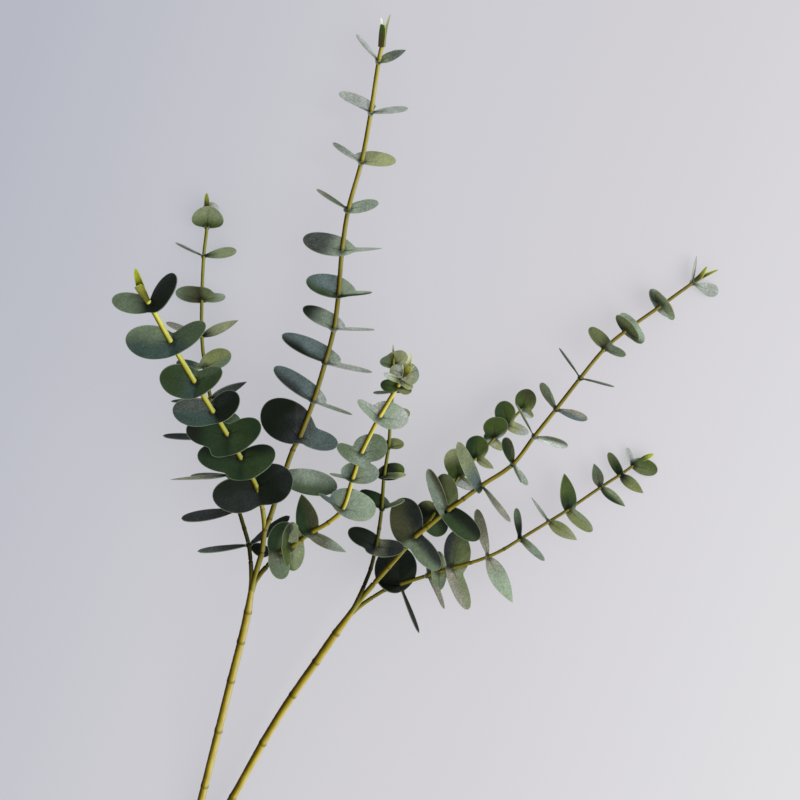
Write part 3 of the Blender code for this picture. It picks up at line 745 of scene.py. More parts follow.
def smooth_line(knots, row):
    """Points about a row apart on one smooth line through knots, and each knot's distance."""
    line = [knots[0]]
    distances = [0.0]
    for index in range(len(knots) - 1):
        near, far = knots[index], knots[index + 1]
        before = knots[max(index - 1, 0)]
        after = knots[min(index + 2, len(knots) - 1)]
        third = (far - near).length / 3
        near_handle = near + (far - before).normalized() * third
        far_handle = far - (after - near).normalized() * third
        count = max(round((far - near).length / (row * MM)), 1)
        for step in range(1, count + 1):
            share = step / count
            rest = 1 - share
            line.append(near * rest ** 3 + near_handle * 3 * share * rest ** 2
                        + far_handle * 3 * share ** 2 * rest + far * share ** 3)
        distances.append(sum((line[at] - line[at - 1]).length for at in range(1, len(line))))
    return line, distances


def closed_stations(line, radius_at, start_cap, end_cap):
    """The rows of a stem: each one's middle, direction, distance and radius."""
    gaps = [(line[at] - line[at - 1]).length for at in range(1, len(line))]
    total = sum(gaps)
    start_lead = (line[1] - line[0]).normalized()
    end_lead = (line[-1] - line[-2]).normalized()
    start_radius = radius_at(0.0)
    end_radius = radius_at(total)
    stations = []
    for depth, share in start_cap:
        reach = depth * start_radius
        stations.append((line[0] + start_lead * reach, start_lead, reach, share * start_radius))
    distance = 0.0
    for at in range(1, len(line) - 1):
        distance += gaps[at - 1]
        if CAP_ROOM * start_radius < distance < total - CAP_ROOM * end_radius:
            direction = (line[at + 1] - line[at - 1]).normalized()
            stations.append((line[at], direction, distance, radius_at(distance)))
    for depth, share in reversed(end_cap):
        reach = total - depth * end_radius
        place = line[-1] - end_lead * depth * end_radius
        stations.append((place, end_lead, reach, share * end_radius))
    return stations


def ring_swell(distance, joint, rise, fade):
    """How much of a ring's height is left at a distance along the stem."""
    gap = (distance - joint) / MM
    return math.exp(-(gap / (rise if gap < 0 else fade)) ** 2)


def between(values, share):
    """A value from evenly spaced ones, at a share of the way through them."""
    at = min(int(share * (len(values) - 1)), len(values) - 2)
    return values[at] + (values[at + 1] - values[at]) * (share * (len(values) - 1) - at)


def add_stem(form, knots, radii, joints, row, sides, bright, youth, caps=(DOMED, DOMED)):
    """Roll a grid up round a smooth line through knots, with a swelling at each joint.

    radii are metres, one for each knot. joints are (knot number, height, rise, fade).
    bright is how bright the bark's painted light and shade make it, evenly from foot to tip, and
    youth how green it is.
    """
    line, distances = smooth_line(knots, row)
    swells = [(distances[knot], height, rise, fade) for knot, height, rise, fade in joints]

    def radius_at(distance):
        radius = radii[-1]
        for at in range(len(knots) - 1):
            if distance <= distances[at + 1]:
                share = (distance - distances[at]) / (distances[at + 1] - distances[at])
                radius = radii[at] + (radii[at + 1] - radii[at]) * share
                break
        for joint, height, rise, fade in swells:
            radius += height * MM * ring_swell(distance, joint, rise, fade)
        return radius

    stations = closed_stations(line, radius_at, *caps)
    grain, painted_lighting, jointed, sawn, lit, young = layers_of(form, BARK_ATTRIBUTES)
    last = len(stations) - 1
    made = bmesh.ops.create_grid(form, x_segments=sides, y_segments=last, size=1.0)["verts"]
    for vertex in made:
        middle, direction, distance, radius = stations[round((vertex.co.y + 1) / 2 * last)]
        turn = round((vertex.co.x + 1) / 2 * sides) % sides * math.tau / sides
        beside = direction.cross(UP).normalized()
        outward = math.cos(turn) * beside + math.sin(turn) * beside.cross(direction)
        bark = 1 + BARK_RELIEF * noise.noise((middle + outward * radius) * BARK_PITCH)
        vertex.co = middle + outward * radius * bark
        vertex[grain] = (math.cos(turn) * radius, math.sin(turn) * radius, distance)
        # Painted light and shade: how far this point of the bark faces the painted lit side.
        vertex[painted_lighting] = min(max(0.5 + PAINTED_LIGHT_SPREAD * outward.dot(PAINTED_LIGHT_SIDE), 0.0), 1.0)
        vertex[jointed] = max(
            [ring_swell(distance, joint, rise, fade) for joint, height, rise, fade in swells],
            default=0.0)
        vertex[sawn] = 1.0 if caps[0] is SAWN and distance == 0.0 else 0.0
        # Painted light and shade along the stem.
        vertex[lit] = between(bright, distance / stations[last][2])
        vertex[young] = youth
    bmesh.ops.remove_doubles(form, verts=made, dist=SAME_PLACE)


def add_forks(form, bearer, row, sides):
    """The forks that the main stem or a twig bears."""
    for name, (owner, diameter, route) in FORKS.items():
        if owner == bearer:
            knots = [seen_at(place) for place in route]
            radii = [diameter / 2 * MM] * len(knots)
            joints = [(len(knots) - 1, JOINT_SHARE * diameter / 2, JOINT_RISE, JOINT_FADE)]
            foot_bright = next(twig[5][0] for twig in TWIGS if twig[0] == name)
            bright = (ARM_BRIGHT[1] * FORK_DUSK, foot_bright)
            add_stem(form, knots, radii, joints, row, sides, bright, FORK_YOUTH)


def add_arm(form, route, rings):
    """One long arm with its ring joints, thinner at its end."""
    knots = [seen_at(place) for place in route]
    radii = [ARM_DIAMETER / 2 * MM] * len(knots)
    radii[-1] *= ARM_END_SHARE
    joints = [(route.index(ring), RING_HEIGHT, RING_RISE, RING_FADE) for ring in rings]
    add_stem(form, knots, radii, joints, ARM_ROW, ARM_SIDES, ARM_BRIGHT, 0.0)


def make_main_stem(material):
    """The sawn trunk, both arms and the forks at their ends, in one piece."""
    form = new_form(BARK_ATTRIBUTES)
    trunk = [seen_at(place) for place in TRUNK_ROUTE]
    trunk.append(trunk[-1] + (trunk[-1] - trunk[-2]).normalized() * ROOTED * MM)
    radii = [TRUNK_DIAMETER / 2 * MM] * len(trunk)
    bright = (ARM_BRIGHT[0], ARM_BRIGHT[0])
    add_stem(form, trunk, radii, [], ARM_ROW, ARM_SIDES, bright, 0.0, (SAWN, DOMED))
    add_arm(form, LEFT_ARM_ROUTE, LEFT_RINGS)
    add_arm(form, RIGHT_ARM_ROUTE, RIGHT_RINGS)
    add_forks(form, "main_stem", ARM_ROW, ARM_SIDES)
    bmesh.ops.recalc_face_normals(form, faces=form.faces)
    add_piece("main_stem_bark", form, material, "olive_bark", "main_stem")


def make_twig_stem(name, foot, tip, bright, youth, stops, material):
    """A twig's own stem, from inside its fork to inside its bud."""
    start, lead = end_of(FORKS[name][2])
    knots = [start - lead * ROOTED * MM] + [seen_at(place) for place, leaves in stops[:-1]]
    foot_of_bud = seen_at(next(row[2] for row in BUDS if row[1] == name))
    knots.append(foot_of_bud + (foot_of_bud - knots[-1]).normalized() * ROOTED * MM)
    last = len(knots) - 1
    radii = [(foot + (tip - foot) * at / last) / 2 * MM for at in range(last + 1)]
    joints = [
        (at + 1, JOINT_SHARE * radii[at + 1] / MM, JOINT_RISE, JOINT_FADE)
        for at in range(last - 1)
    ]
    form = new_form(BARK_ATTRIBUTES)
    add_stem(form, knots, radii, joints, TWIG_ROW, TWIG_SIDES, bright, youth)
    add_forks(form, name, TWIG_ROW, TWIG_SIDES)
    bmesh.ops.recalc_face_normals(form, faces=form.faces)
    add_piece(name + "_bark", form, material, "olive_bark", name)


def half_width(along, outline):
    """The blade's half-width at a share of its length, as a share of the widest."""
    base_power, tip_power = outline
    peak = base_power / (base_power + tip_power)
    widest = peak ** base_power * (1 - peak) ** tip_power
    return along ** base_power * (1 - along) ** tip_power / widest


def read_leaf(stop, leaf, twig_outline):
    """A leaf's plan as the eye sees it, and how its blade rises along and across."""
    tip_x, tip_y, rise, width, face = leaf[:5]
    places = [extra for extra in leaf[5:-1] if not isinstance(extra, tuple)]
    outlines = [extra for extra in leaf[5:-1] if isinstance(extra, tuple)]
    middle = Vector(stop[:2])
    tip = Vector((tip_x, tip_y))
    heel = Vector(places) if places else middle
    outline = ROUND if places else twig_outline
    if outlines:
        outline = outlines[0]
    turn = math.radians(face)
    return {
        "heel": heel,
        "axis": (tip - heel).normalized(),
        "length": (tip - heel).length,
        "outline": outline,
        "half": width / 2 * math.sin(turn),
        "rib": (tip - middle).normalized(),
        "reach": (tip - middle).length,
        "rise": rise,
        "slope": seen_scale(stop[2]) / math.tan(turn),
        "finish": leaf[-1].split(),
    }


def margin_distance(plan, middle, direction):
    """How far from its stem a leaf's margin lies in a direction, as the eye sees it."""
    near, far = 0.0, plan["length"] + (plan["heel"] - middle).length
    for halving in range(MARGIN_HALVINGS):
        half_way = (near + far) / 2
        past_heel = middle + direction * half_way - plan["heel"]
        along = past_heel.dot(plan["axis"]) / plan["length"]
        aside = abs(past_heel.dot(right_of(plan["axis"])))
        if 0 < along < 1 and aside < plan["half"] * half_width(along, plan["outline"]):
            near = half_way
        else:
            far = half_way
    return near


def joint_margin(plans, middle, angle, collar):
    """The margin of leaves grown together round a stem: the farthest of theirs, smoothed."""
    direction = way(angle)
    reaches = [margin_distance(plan, middle, direction) for plan in plans] + [collar]
    place = Vector((*direction, 0.1 * middle.x))
    ragged = 1 + MARGIN_WAVER * noise.noise(place * WAVER_PITCH)
    return ragged * sum(reach ** MARGIN_BLEND for reach in reaches) ** (1 / MARGIN_BLEND)


def margin_columns(plans, middle, collar):
    """Angles and distances round the joint margin, evenly spaced along it from tip to tip."""
    first = math.atan2(plans[0]["rib"].y, plans[0]["rib"].x)
    last = math.atan2(plans[-1]["rib"].y, plans[-1]["rib"].x) if len(plans) > 1 else first + math.pi
    sweep = (first - last) % math.tau
    columns = []
    for start, turn in ((first, sweep), (last, math.tau - sweep)):
        angles = [
            start - turn * eased(sample / MARGIN_SAMPLES) for sample in range(MARGIN_SAMPLES + 1)]
        reaches = [joint_margin(plans, middle, angle, collar) for angle in angles]
        travelled = [0.0]
        for at in range(1, len(angles)):
            step = way(angles[at]) * reaches[at] - way(angles[at - 1]) * reaches[at - 1]
            travelled.append(travelled[-1] + step.length)
        at = 1
        for column in range(BLADE_COLUMNS):
            wanted = travelled[-1] * column / BLADE_COLUMNS
            while travelled[at] < wanted:
                at += 1
            share = (wanted - travelled[at - 1]) / (travelled[at] - travelled[at - 1])
            angle = angles[at - 1] + (angles[at] - angles[at - 1]) * share
            columns.append((angle, joint_margin(plans, middle, angle, collar)))
    return columns


def cleared(height, place, knots, at, radius, faces_eye):
    """The height that takes a blade past its stem.

    A blade that faces the eye lies behind the stem beyond their joint, towards the tip, and
    before the stem short of it. One that turns its back to the eye does the opposite.
    """
    stop = Vector(knots[at])
    ahead = Vector(knots[min(at + 1, len(knots) - 1)])
    behind = Vector(knots[max(at - 1, 0)])
    onward = (ahead - behind).xy.normalized()
    gap = (place - stop.xy).dot(onward)
    other = ahead if gap > 0 else behind
    if other == stop:
        other = stop + (stop - behind) + (stop - ahead)
    run = (other - stop).xy
    share = min(max((place - stop.xy).dot(run) / run.length_squared, 0.0), 1.0)
    nearest = stop.lerp(other, share)
    spare = max((place - nearest.xy).length - radius, 0.0)
    behind_it = min(height, nearest.z - DEPTH_BEHIND * radius + spare * CLEARING_SLOPE)
    before_it = max(height, nearest.z + radius + GAP_BEFORE - spare * CLEARING_SLOPE)
    crossed = (gap if faces_eye else -gap) - CROSSING_PAST
    front = eased(0.5 - crossed / CROSSING)
    return behind_it + (before_it - behind_it) * front


def blade_tone(plan, along, aside, place):
    """A leaf's tone at a place on its blade, where its second tone sets in unevenly."""
    # The tones, and where the second one sets in, hold painted light and shade as well as the
    # leaf's own colour.
    main, other, where = plan["finish"]
    past = {
        "tip": along - TIP_TONE_FROM, "heel": HEEL_TONE_TO - along,
        "right": aside * SIDE_TONE_SHARE, "left": -aside * SIDE_TONE_SHARE,
    }
    wander = TONE_WANDER * noise.noise(place * WANDER_PITCH)
    share = eased(0.5 + (past[where] + wander) * TONE_STEEPNESS)
    return Vector(TONES[main]).lerp(Vector(TONES[other]), share)


def add_blade(form, knots, at, leaves, twig_outline, stem_radius, faces_eye):
    """Leaves grown together round their stem: a grid rolled up round it, then thickened.

    It reaches out to the leaves' joint margin, and each leaf keeps its own midrib, slope,
    fold and arch. Where it would reach through the ground, it lies flat on it instead.
    """
    stop = knots[at]
    middle = Vector(stop[:2])
    plans = [read_leaf(stop, leaf, twig_outline) for leaf in leaves]
    columns = margin_columns(plans, middle, stem_radius + COLLAR_WIDTH)
    phase = stop[0] * 0.9 + stop[1] * 0.7
    variation = 1 + TONE_VARIATION * noise.noise(Vector(stop) * 0.3)
    tone, blade, under = layers_of(form, BLADE_ATTRIBUTES)
    grid = bmesh.ops.create_grid(
        form, x_segments=len(columns), y_segments=BLADE_ROWS, size=1.0)["verts"]
    for vertex in grid:
        column = round((vertex.co.x + 1) / 2 * len(columns)) % len(columns)
        out = (vertex.co.y + 1) / 2
        angle, margin = columns[column]
        direction = way(angle)
        before, after = columns[column - 1], columns[(column + 1) % len(columns)]
        edge = way(after[0]) * after[1] - way(before[0]) * before[1]
        squareness = abs(edge.normalized().cross(direction))
        from_middle = direction * margin * out
        shares = [1.0]
        if len(plans) > 1:
            lean = direction.dot(plans[0]["rib"]) - direction.dot(plans[1]["rib"])
            lean *= LEAF_PARTING_SHARE
            shares = [eased(0.5 + lean), eased(0.5 - lean)]
        height = 0.0
        reach = 0.0
        run = 0.0
        colour = Vector((0.0, 0.0, 0.0, 0.0))
        for plan, share in zip(plans, shares):
            along = from_middle.dot(plan["rib"]) / plan["reach"]
            aside = from_middle.dot(right_of(plan["rib"]))
            inner = min(max(along, 0), 1)
            lift = FOLD * (math.hypot(aside, FOLD_ROUNDING) - FOLD_ROUNDING)
            lift += ARCH * plan["reach"] * math.sin(inner * math.pi)
            lift -= GROOVE_DEPTH * math.exp(-(aside / GROOVE_HALF) ** 2) * (1 - inner)
            lift += WAVE_SHARE * plan["reach"] * out * out * math.sin(angle * WAVES + phase)
            height += share * (plan["rise"] * along + plan["slope"] * aside + lift)
            reach += share * abs(aside)
            run += share * max(along, 0) * plan["reach"]
            place = seen_at((*(middle + from_middle), stop[2]))
            colour += share * blade_tone(plan, along, aside / plan["half"], place)
        height = cleared(stop[2] + height, middle + from_middle, knots, at, stem_radius, faces_eye)
        place = seen_at((*(middle + from_middle), max(height, BLADE_THICKNESS)))
        vertex.co = place
        vertex[tone] = colour * variation
        vertex[blade] = Vector((reach, run, margin * (1 - out) * squareness)) * MM
    thicken(form, closed_grid(form, grid), BLADE_THICKNESS, under)


def grown_together(stop, leaves):
    """The leaves that share one blade: the first and the last, if they point apart."""
    if len(leaves) < 2:
        return [[leaf] for leaf in leaves]
    ways = [(Vector(leaf[:2]) - Vector(stop[:2])).normalized() for leaf in leaves]
    if ways[0].dot(ways[-1]) > PARTING:
        return [[leaf] for leaf in leaves]
    return [[leaves[0], leaves[-1]]] + [[leaf] for leaf in leaves[1:-1]]


def make_leaves(name, foot, tip, outline, faces_eye, stops, material):
    """A twig's blades. The first faces_eye of its stops turn their faces to the eye."""
    form = new_form(BLADE_ATTRIBUTES)
    knots = [FORKS[name][2][-1]] + [place for place, leaves in stops]
    knots += [row[4][0][:3] for row in BUDS if row[1] == name]
    for at, (place, leaves) in enumerate(stops):
        radius = (foot + (tip - foot) * at / len(stops)) / 2 / seen_scale(place[2])
        for group in grown_together(place, leaves):
            add_blade(form, knots, at + 1, group, outline, radius, at < faces_eye)
    add_piece(name + "_leaves", form, material, "eucalyptus_leaf", name)


def add_young_leaf(form, foot, mouth, leaf):
    """A young leaf wrapped round its bud's middle at its foot, that opens towards its tip."""
    x, y, height, turn, base, half, wrap, opened, blunt, foot_tone, tip_tone = leaf
    foot = Vector(foot)
    ahead = (Vector(mouth) - foot).normalized()
    beside = ahead.cross(UP).normalized()
    turn = math.radians(turn)
    outward = math.cos(turn) * beside + math.sin(turn) * beside.cross(ahead)
    across = ahead.cross(outward)
    start = foot + outward * base
    reach = Vector((x, y, height)) - start
    length = reach.dot(ahead)
    flare = reach - ahead * length
    tone, edge, inside = layers_of(form, YOUNG_ATTRIBUTES)
    grid = bmesh.ops.create_grid(
        form, x_segments=YOUNG_COLUMNS, y_segments=YOUNG_ROWS, size=1.0)["verts"]
    for vertex in grid:
        aside = vertex.co.x
        along = (vertex.co.y + 1) / 2
        width = base + (half - base) * eased(along / YOUNG_WIDENING)
        width *= max(1 - along ** blunt, 0.0) ** 0.5
        bend = math.radians(wrap + (opened - wrap) * eased(along))
        curve = width / math.sin(min(bend, math.pi / 2))
        lean = aside * bend
        middle = start + ahead * length * along + flare * along ** 2
        place = middle + across * curve * math.sin(lean) + outward * curve * (math.cos(lean) - 1)
        vertex.co = seen_at(place)
        shade = eased((along - YOUNG_TIP_TONE[0]) / YOUNG_TIP_TONE[1])
        vertex[tone] = Vector(TONES[foot_tone]).lerp(Vector(TONES[tip_tone]), shade)
        vertex[edge] = min((1 - abs(aside)) * width, (1 - along) * length) * MM
    faces = closed_grid(form, grid)
    bmesh.ops.recalc_face_normals(form, faces=faces)
    if sum(face.normal.dot(outward) for face in faces) < 0:
        bmesh.ops.reverse_faces(form, faces=faces)
    thicken(form, faces, YOUNG_THICKNESS, inside)


def make_bud(name, foot, mouth, leaves, material):
    """The young leaves at a twig's tip, in one piece."""
    form = new_form(YOUNG_ATTRIBUTES)
    for leaf in leaves:
        add_young_leaf(form, foot, mouth, leaf)
    add_piece(name + "_skin", form, material, "young_bud", name)


def add_node(tree, kind, values=None, **settings):
    """A shader node, with its settings, and its inputs given as values or as sockets."""
    made = tree.nodes.new(kind)
    for name, setting in settings.items():
        setattr(made, name, setting)
    for key, value in (values or {}).items():
        if isinstance(value, bpy.types.NodeSocket):
            tree.links.new(value, made.inputs[key])
        else:
            made.inputs[key].default_value = value
    return made


def attribute(tree, name, output="Fac"):
    return add_node(tree, "ShaderNodeAttribute", attribute_name=name).outputs[output]


def parts_of(tree, vector):
    return add_node(tree, "ShaderNodeSeparateXYZ", {"Vector": vector}).outputs


def maths(tree, operation, first, second=0.0):
    return add_node(tree, "ShaderNodeMath", {0: first, 1: second}, operation=operation).outputs[0]


def product(tree, first, second):
    return maths(tree, "MULTIPLY", first, second)


def ranged(tree, value, low, high, at_low=0.0, at_high=1.0):
    """value eased from at_low, where it is low, to at_high, where it is high."""
    return add_node(tree, "ShaderNodeMapRange", {
        "Value": value, "From Min": low, "From Max": high, "To Min": at_low, "To Max": at_high,
    }, interpolation_type="SMOOTHSTEP").outputs["Result"]


def mixed(tree, share, first, second, blend="MIX"):
    """Two colours mixed by a share, each a socket or a linear colour."""
    first, second = [
        colour if isinstance(colour, bpy.types.NodeSocket) else (*colour, 1.0)
        for colour in (first, second)
    ]
    return add_node(tree, "ShaderNodeMix", {0: share, 6: first, 7: second},
                    data_type="RGBA", blend_type=blend).outputs[2]


def speckled(tree, vector, scale, detail=3.0, roughness=0.55):
    """A noise from 0 to 1 over a vector in metres."""
    return add_node(tree, "ShaderNodeTexNoise", {
        "Vector": vector, "Scale": scale, "Detail": detail, "Roughness": roughness,
    }).outputs["Fac"]


def stretched(tree, vector, scale):
    return add_node(tree, "ShaderNodeMapping", {"Vector": vector, "Scale": scale}).outputs[0]


def new_material(name, roughness, specular):
    """A material, its node tree and its shader, which has a plain roughness and gloss."""
    material = bpy.data.materials.new(name)
    material.use_nodes = True
    shader = material.node_tree.nodes["Principled BSDF"]
    shader.inputs["Roughness"].default_value = roughness
    shader.inputs["Specular IOR Level"].default_value = specular
    return material, material.node_tree, shader


def bump(tree, shader, height, distance, strength=1.0):
    made = add_node(tree, "ShaderNodeBump", {
        "Height": height, "Distance": distance, "Strength": strength})
    tree.links.new(made.outputs["Normal"], shader.inputs["Normal"])


def ramp(tree, value, *stops):
    """A colour for a value, through (position, colour) stops."""
    made = add_node(tree, "ShaderNodeValToRGB", {"Fac": value})
    elements = made.color_ramp.elements
    for at, (position, colour) in enumerate(stops):
        element = elements[at] if at < 2 else elements.new(position)
        element.position = position
        element.color = (*colour, 1.0)
    return made.outputs["Color"]


def brightened(tree, colour, value):
    """A colour times a value."""
    grey = add_node(tree, "ShaderNodeCombineColor", {0: value, 1: value, 2: value}).outputs[0]
    return mixed(tree, 1.0, colour, grey, "MULTIPLY")


def length_of(tree, first, second):
    squares = [product(tree, side, side) for side in (first, second)]
    return maths(tree, "SQRT", maths(tree, "ADD", *squares))


def leaf_material():
    """Waxy blades: a fine mottle, pale dust, painted shade along the midrib and round the stem,
    side veins and a pale rim.
    """
    material, tree, shader = new_material("waxy_leaf", 0.55, 0.12)
    place = add_node(tree, "ShaderNodeTexCoord").outputs["Object"]
    tone = attribute(tree, "tone", "Color")
    dustiness = attribute(tree, "tone", "Alpha")
    out, along, margin = parts_of(tree, attribute(tree, "blade", "Vector"))
    under = attribute(tree, "under")

    shade = ranged(tree, speckled(tree, place, 70, 2.0), 0.3, 0.7, 0.86, 1.14)
    colour = brightened(tree, tone, shade)
    mottle = ranged(tree, speckled(tree, place, 650, 5.0, 0.7), 0.32, 0.68, -1.0, 1.0)
    uneven = maths(tree, "ADD", product(tree, dustiness, 0.30), 0.11)
    mottle = maths(tree, "ADD", product(tree, mottle, uneven), 1.0)
    colour = brightened(tree, colour, mottle)
    cells = add_node(tree, "ShaderNodeTexVoronoi", {"Vector": place, "Scale": 420.0},
                     feature="DISTANCE_TO_EDGE").outputs["Distance"]
    colour = brightened(tree, colour, ranged(tree, cells, 0.0, 0.09, 1.14, 1.0))

    slant = maths(tree, "SUBTRACT", along, product(tree, out, VEIN_SLANT))
    sway = product(tree, speckled(tree, place, 210), 0.0045)
    phase = product(tree, maths(tree, "ADD", slant, sway), math.tau / VEIN_SPACING)
    veins = ranged(tree, maths(tree, "SINE", phase), 0.80, 1.0)
    veins = product(tree, veins, ranged(tree, out, 0.0004, 0.0015))
    colour = brightened(tree, colour, ranged(tree, veins, 0.0, 1.0, 1.0, 1.16))

    grains = ranged(tree, speckled(tree, place, 1250, 3.0, 0.6), 0.47, 0.62)
    cover = ranged(tree, speckled(tree, place, 150, 2.0), 0.35, 0.65, 0.45, 1.0)
    dust = product(tree, product(tree, grains, cover), dustiness)
    dusty = mixed(tree, 1.0, brightened(tree, colour, 1.6), (0.05, 0.05, 0.045), "ADD")
    colour = mixed(tree, dust, colour, dusty)

    # Painted shade: darker in the midrib groove near the heel, and round the stem where the blade
    # meets it.
    midrib = ranged(tree, out, 0.0002, 0.0008, 1.0, 0.0)
    fading = ranged(tree, along, 0.002, 0.016, 0.55, 0.0)
    midrib = product(tree, midrib, fading)
    hollow = ranged(tree, length_of(tree, out, along), 0.0012, 0.0058, 0.84, 0.0)
    for depth, shadow in ((midrib, (0.12, 0.14, 0.08)), (hollow, (0.10, 0.12, 0.10))):
        colour = mixed(tree, 1.0, colour, mixed(tree, depth, (1, 1, 1), shadow), "MULTIPLY")

    backs = mixed(tree, 0.55, colour, (0.26, 0.31, 0.25))
    colour = mixed(tree, under, colour, backs)
    rim = ranged(tree, margin, 0.0001, 0.0006, 0.40, 0.0)
    colour = mixed(tree, rim, colour, (0.32, 0.38, 0.24))
    tree.links.new(colour, shader.inputs["Base Color"])
    rough = ranged(tree, speckled(tree, place, 500, 3.0), 0.3, 0.7, 0.46, 0.66)
    tree.links.new(rough, shader.inputs["Roughness"])
    relief = maths(tree, "ADD", speckled(tree, place, 900, 3.0), product(tree, veins, -0.5))
    bump(tree, shader, relief, 0.00012, 0.8)
    return material


def bark_material():
    """Smooth young bark, streaked: yellow on the side lit in the photo, brown on the other."""
    material, tree, shader = new_material("olive_yellow_bark", 0.42, 0.05)
    grain = attribute(tree, "grain", "Vector")
    painted_lighting, jointed, sawn, bright, youth = [
        attribute(tree, name) for name in ("painted_lighting", "jointed", "sawn", "bright", "youth")]
    streaks = speckled(tree, stretched(tree, grain, (1.0, 1.0, 0.06)), 1100, 4.0, 0.6)
    patches = speckled(tree, stretched(tree, grain, (1.0, 1.0, 0.3)), 180, 3.0)
    uneven = product(tree, maths(tree, "SUBTRACT", patches, 0.5), 0.35)
    # Painted light and shade: brown on the side away from the light, yellow on the lit side.
    colour = ramp(
        tree, maths(tree, "ADD", painted_lighting, uneven),
        (0.02, (0.030, 0.017, 0.0005)), (0.96, (0.70, 0.60, 0.27)), (0.20, (0.063, 0.036, 0.001)),
        (0.35, (0.150, 0.100, 0.002)), (0.50, (0.28, 0.21, 0.007)), (0.65, (0.43, 0.34, 0.032)),
        (0.80, (0.57, 0.47, 0.10)))
    greener = mixed(tree, 1.0, colour, (0.90, 1.10, 0.6), "MULTIPLY")
    colour = mixed(tree, youth, colour, greener)
    # Painted light and shade: the bark is darker or brighter along each stem.
    colour = brightened(tree, colour, bright)
    worn = ranged(tree, streaks, 0.45, 0.70, 1.0, 0.72)
    colour = brightened(tree, colour, worn)
    flecks = speckled(tree, stretched(tree, grain, (1.0, 1.0, 0.5)), 900, 2.0)
    flecks = product(tree, ranged(tree, flecks, 0.66, 0.76, 0.0, 0.2), bright)
    colour = mixed(tree, flecks, colour, (0.55, 0.48, 0.15))
    # Darker at rings and leaf joints: partly the bark's own darker joints, partly painted shade
    # where the blades meet the stem.
    colour = brightened(tree, colour, ranged(tree, jointed, 0.2, 1.0, 1.0, 0.55))
    x, y, distance = parts_of(tree, grain)
    radius = length_of(tree, x, y)
    rings = maths(tree, "SINE", product(tree, radius, math.tau / WOOD_RING))
    wood = mixed(tree, ranged(tree, rings, 0.0, 1.0), (0.62, 0.50, 0.30), (0.44, 0.33, 0.17))
    wood = mixed(tree, ranged(tree, radius, 0.0004, 0.0008, 1.0, 0.0), wood, (0.20, 0.13, 0.06))
    colour = mixed(tree, sawn, colour, wood)
    tree.links.new(colour, shader.inputs["Base Color"])
    tree.links.new(ranged(tree, streaks, 0.3, 0.7, 0.34, 0.52), shader.inputs["Roughness"])
    bump(tree, shader, streaks, 0.00015, 0.7)
    return material


def bud_material():
    """Tender young leaves: dark at the foot and inside with painted shade, and a pale rim, partly
    painted highlight.
    """
    material, tree, shader = new_material("tender_bud", 0.45, 0.25)
    place = add_node(tree, "ShaderNodeTexCoord").outputs["Object"]
    tone = attribute(tree, "tone", "Color")
    edge = attribute(tree, "edge")
    inside = attribute(tree, "inside")
    mottle = speckled(tree, place, 900, 3.0)
    colour = brightened(tree, tone, ranged(tree, mottle, 0.3, 0.7, 0.78, 1.22))
    colour = brightened(tree, colour, ranged(tree, inside, 0.0, 1.0, 1.0, 0.9))
    rim = ranged(tree, edge, 0.0002, 0.0007, 0.55, 0.0)
    colour = mixed(tree, rim, colour, (0.60, 0.64, 0.22))
    tree.links.new(colour, shader.inputs["Base Color"])
    tree.links.new(ranged(tree, mottle, 0.3, 0.7, 0.36, 0.55), shader.inputs["Roughness"])
    bump(tree, shader, mottle, 0.0001, 0.6)
    return material


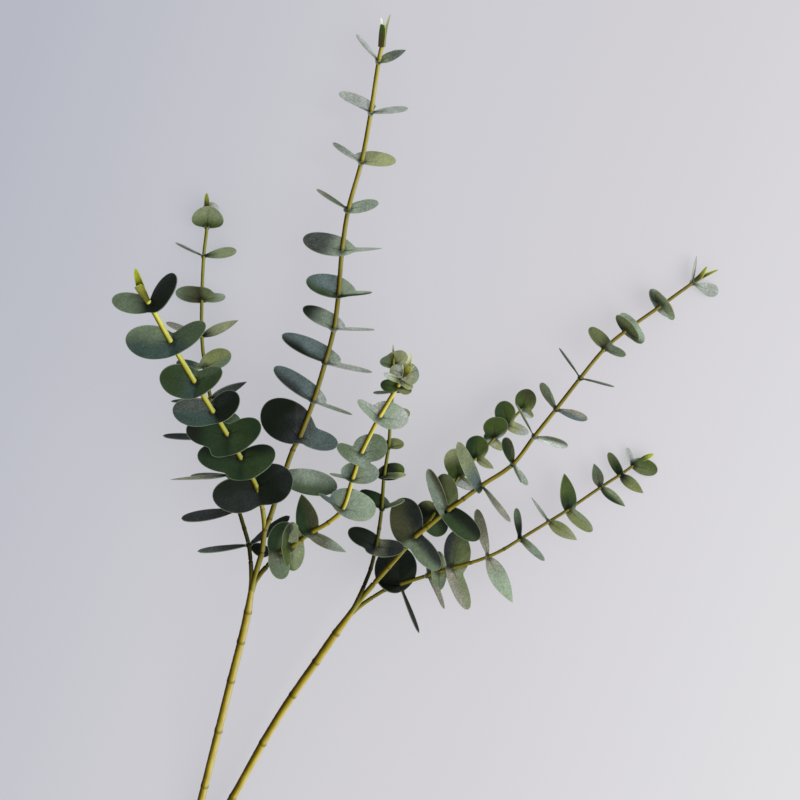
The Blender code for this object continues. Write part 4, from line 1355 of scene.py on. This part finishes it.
def set_stage():
    """The floor, the soft light from the right and the camera that looks straight down."""
    form = bmesh.new()
    bmesh.ops.create_grid(form, x_segments=1, y_segments=1, size=FLOOR_HALF)
    bmesh.ops.translate(form, verts=form.verts, vec=(0.0, 0.0, -FLOOR_DROP))
    mesh = bpy.data.meshes.new("floor")
    form.to_mesh(mesh)
    form.free()
    material, tree, shader = new_material("pale_floor", 0.9, 0.05)
    place = add_node(tree, "ShaderNodeTexCoord").outputs["Object"]
    x, y, z = parts_of(tree, place)
    # Painted light on the floor: lighter towards the right and the bottom of the picture.
    slant = maths(tree, "SUBTRACT", x, product(tree, y, FLOOR_LEAN))
    first, last = FLOOR_COLOURS[0][0], FLOOR_COLOURS[-1][0]
    across = maths(tree, "DIVIDE", maths(tree, "SUBTRACT", slant, first), last - first)
    stops = [((reach - first) / (last - first), colour) for reach, colour in FLOOR_COLOURS]
    board = ramp(tree, across, *stops)
    tree.links.new(brightened(tree, board, 1 - FLOOR_GLOW), shader.inputs["Base Color"])
    tree.links.new(board, shader.inputs["Emission Color"])
    shader.inputs["Emission Strength"].default_value = FLOOR_GLOW
    mesh.materials.append(material)
    floor = bpy.data.objects.new("floor", mesh)
    bpy.context.scene.collection.objects.link(floor)

    world = bpy.data.worlds.new("soft_sky")
    world.use_nodes = True
    sky = world.node_tree.nodes["Background"]
    sky.inputs["Color"].default_value = (*SKY_COLOUR, 1.0)
    sky.inputs["Strength"].default_value = SKY_STRENGTH
    bpy.context.scene.world = world

    lamp = bpy.data.lights.new("key_light", "AREA")
    lamp.size = KEY_SIZE
    lamp.energy = KEY_POWER
    key = bpy.data.objects.new("key_light", lamp)
    key.location = KEY_PLACE
    key.rotation_euler = Vector(KEY_PLACE).to_track_quat("Z", "Y").to_euler()
    bpy.context.scene.collection.objects.link(key)

    lens = bpy.data.cameras.new("camera")
    lens.sensor_width = SENSOR
    lens.lens = SENSOR / 2 * (EYE_HEIGHT - REFERENCE_HEIGHT) / PICTURE_HALF
    camera = bpy.data.objects.new("camera", lens)
    camera.location = Vector((-CENTRE_X, -CENTRE_Y, EYE_HEIGHT)) * MM
    bpy.context.scene.collection.objects.link(camera)
    bpy.context.scene.camera = camera
    bpy.context.scene.view_settings.view_transform = "Standard"


def main():
    bark = bark_material()
    waxy = leaf_material()
    tender = bud_material()
    make_main_stem(bark)
    for name, foot, tip, outline, faces_eye, bright, youth, stops in TWIGS:
        make_twig_stem(name, foot, tip, bright, youth, stops, bark)
        make_leaves(name, foot, tip, outline, faces_eye, stops, waxy)
    for name, twig, foot, mouth, leaves in BUDS:
        make_bud(name, foot, mouth, leaves, tender)
    set_stage()


main()
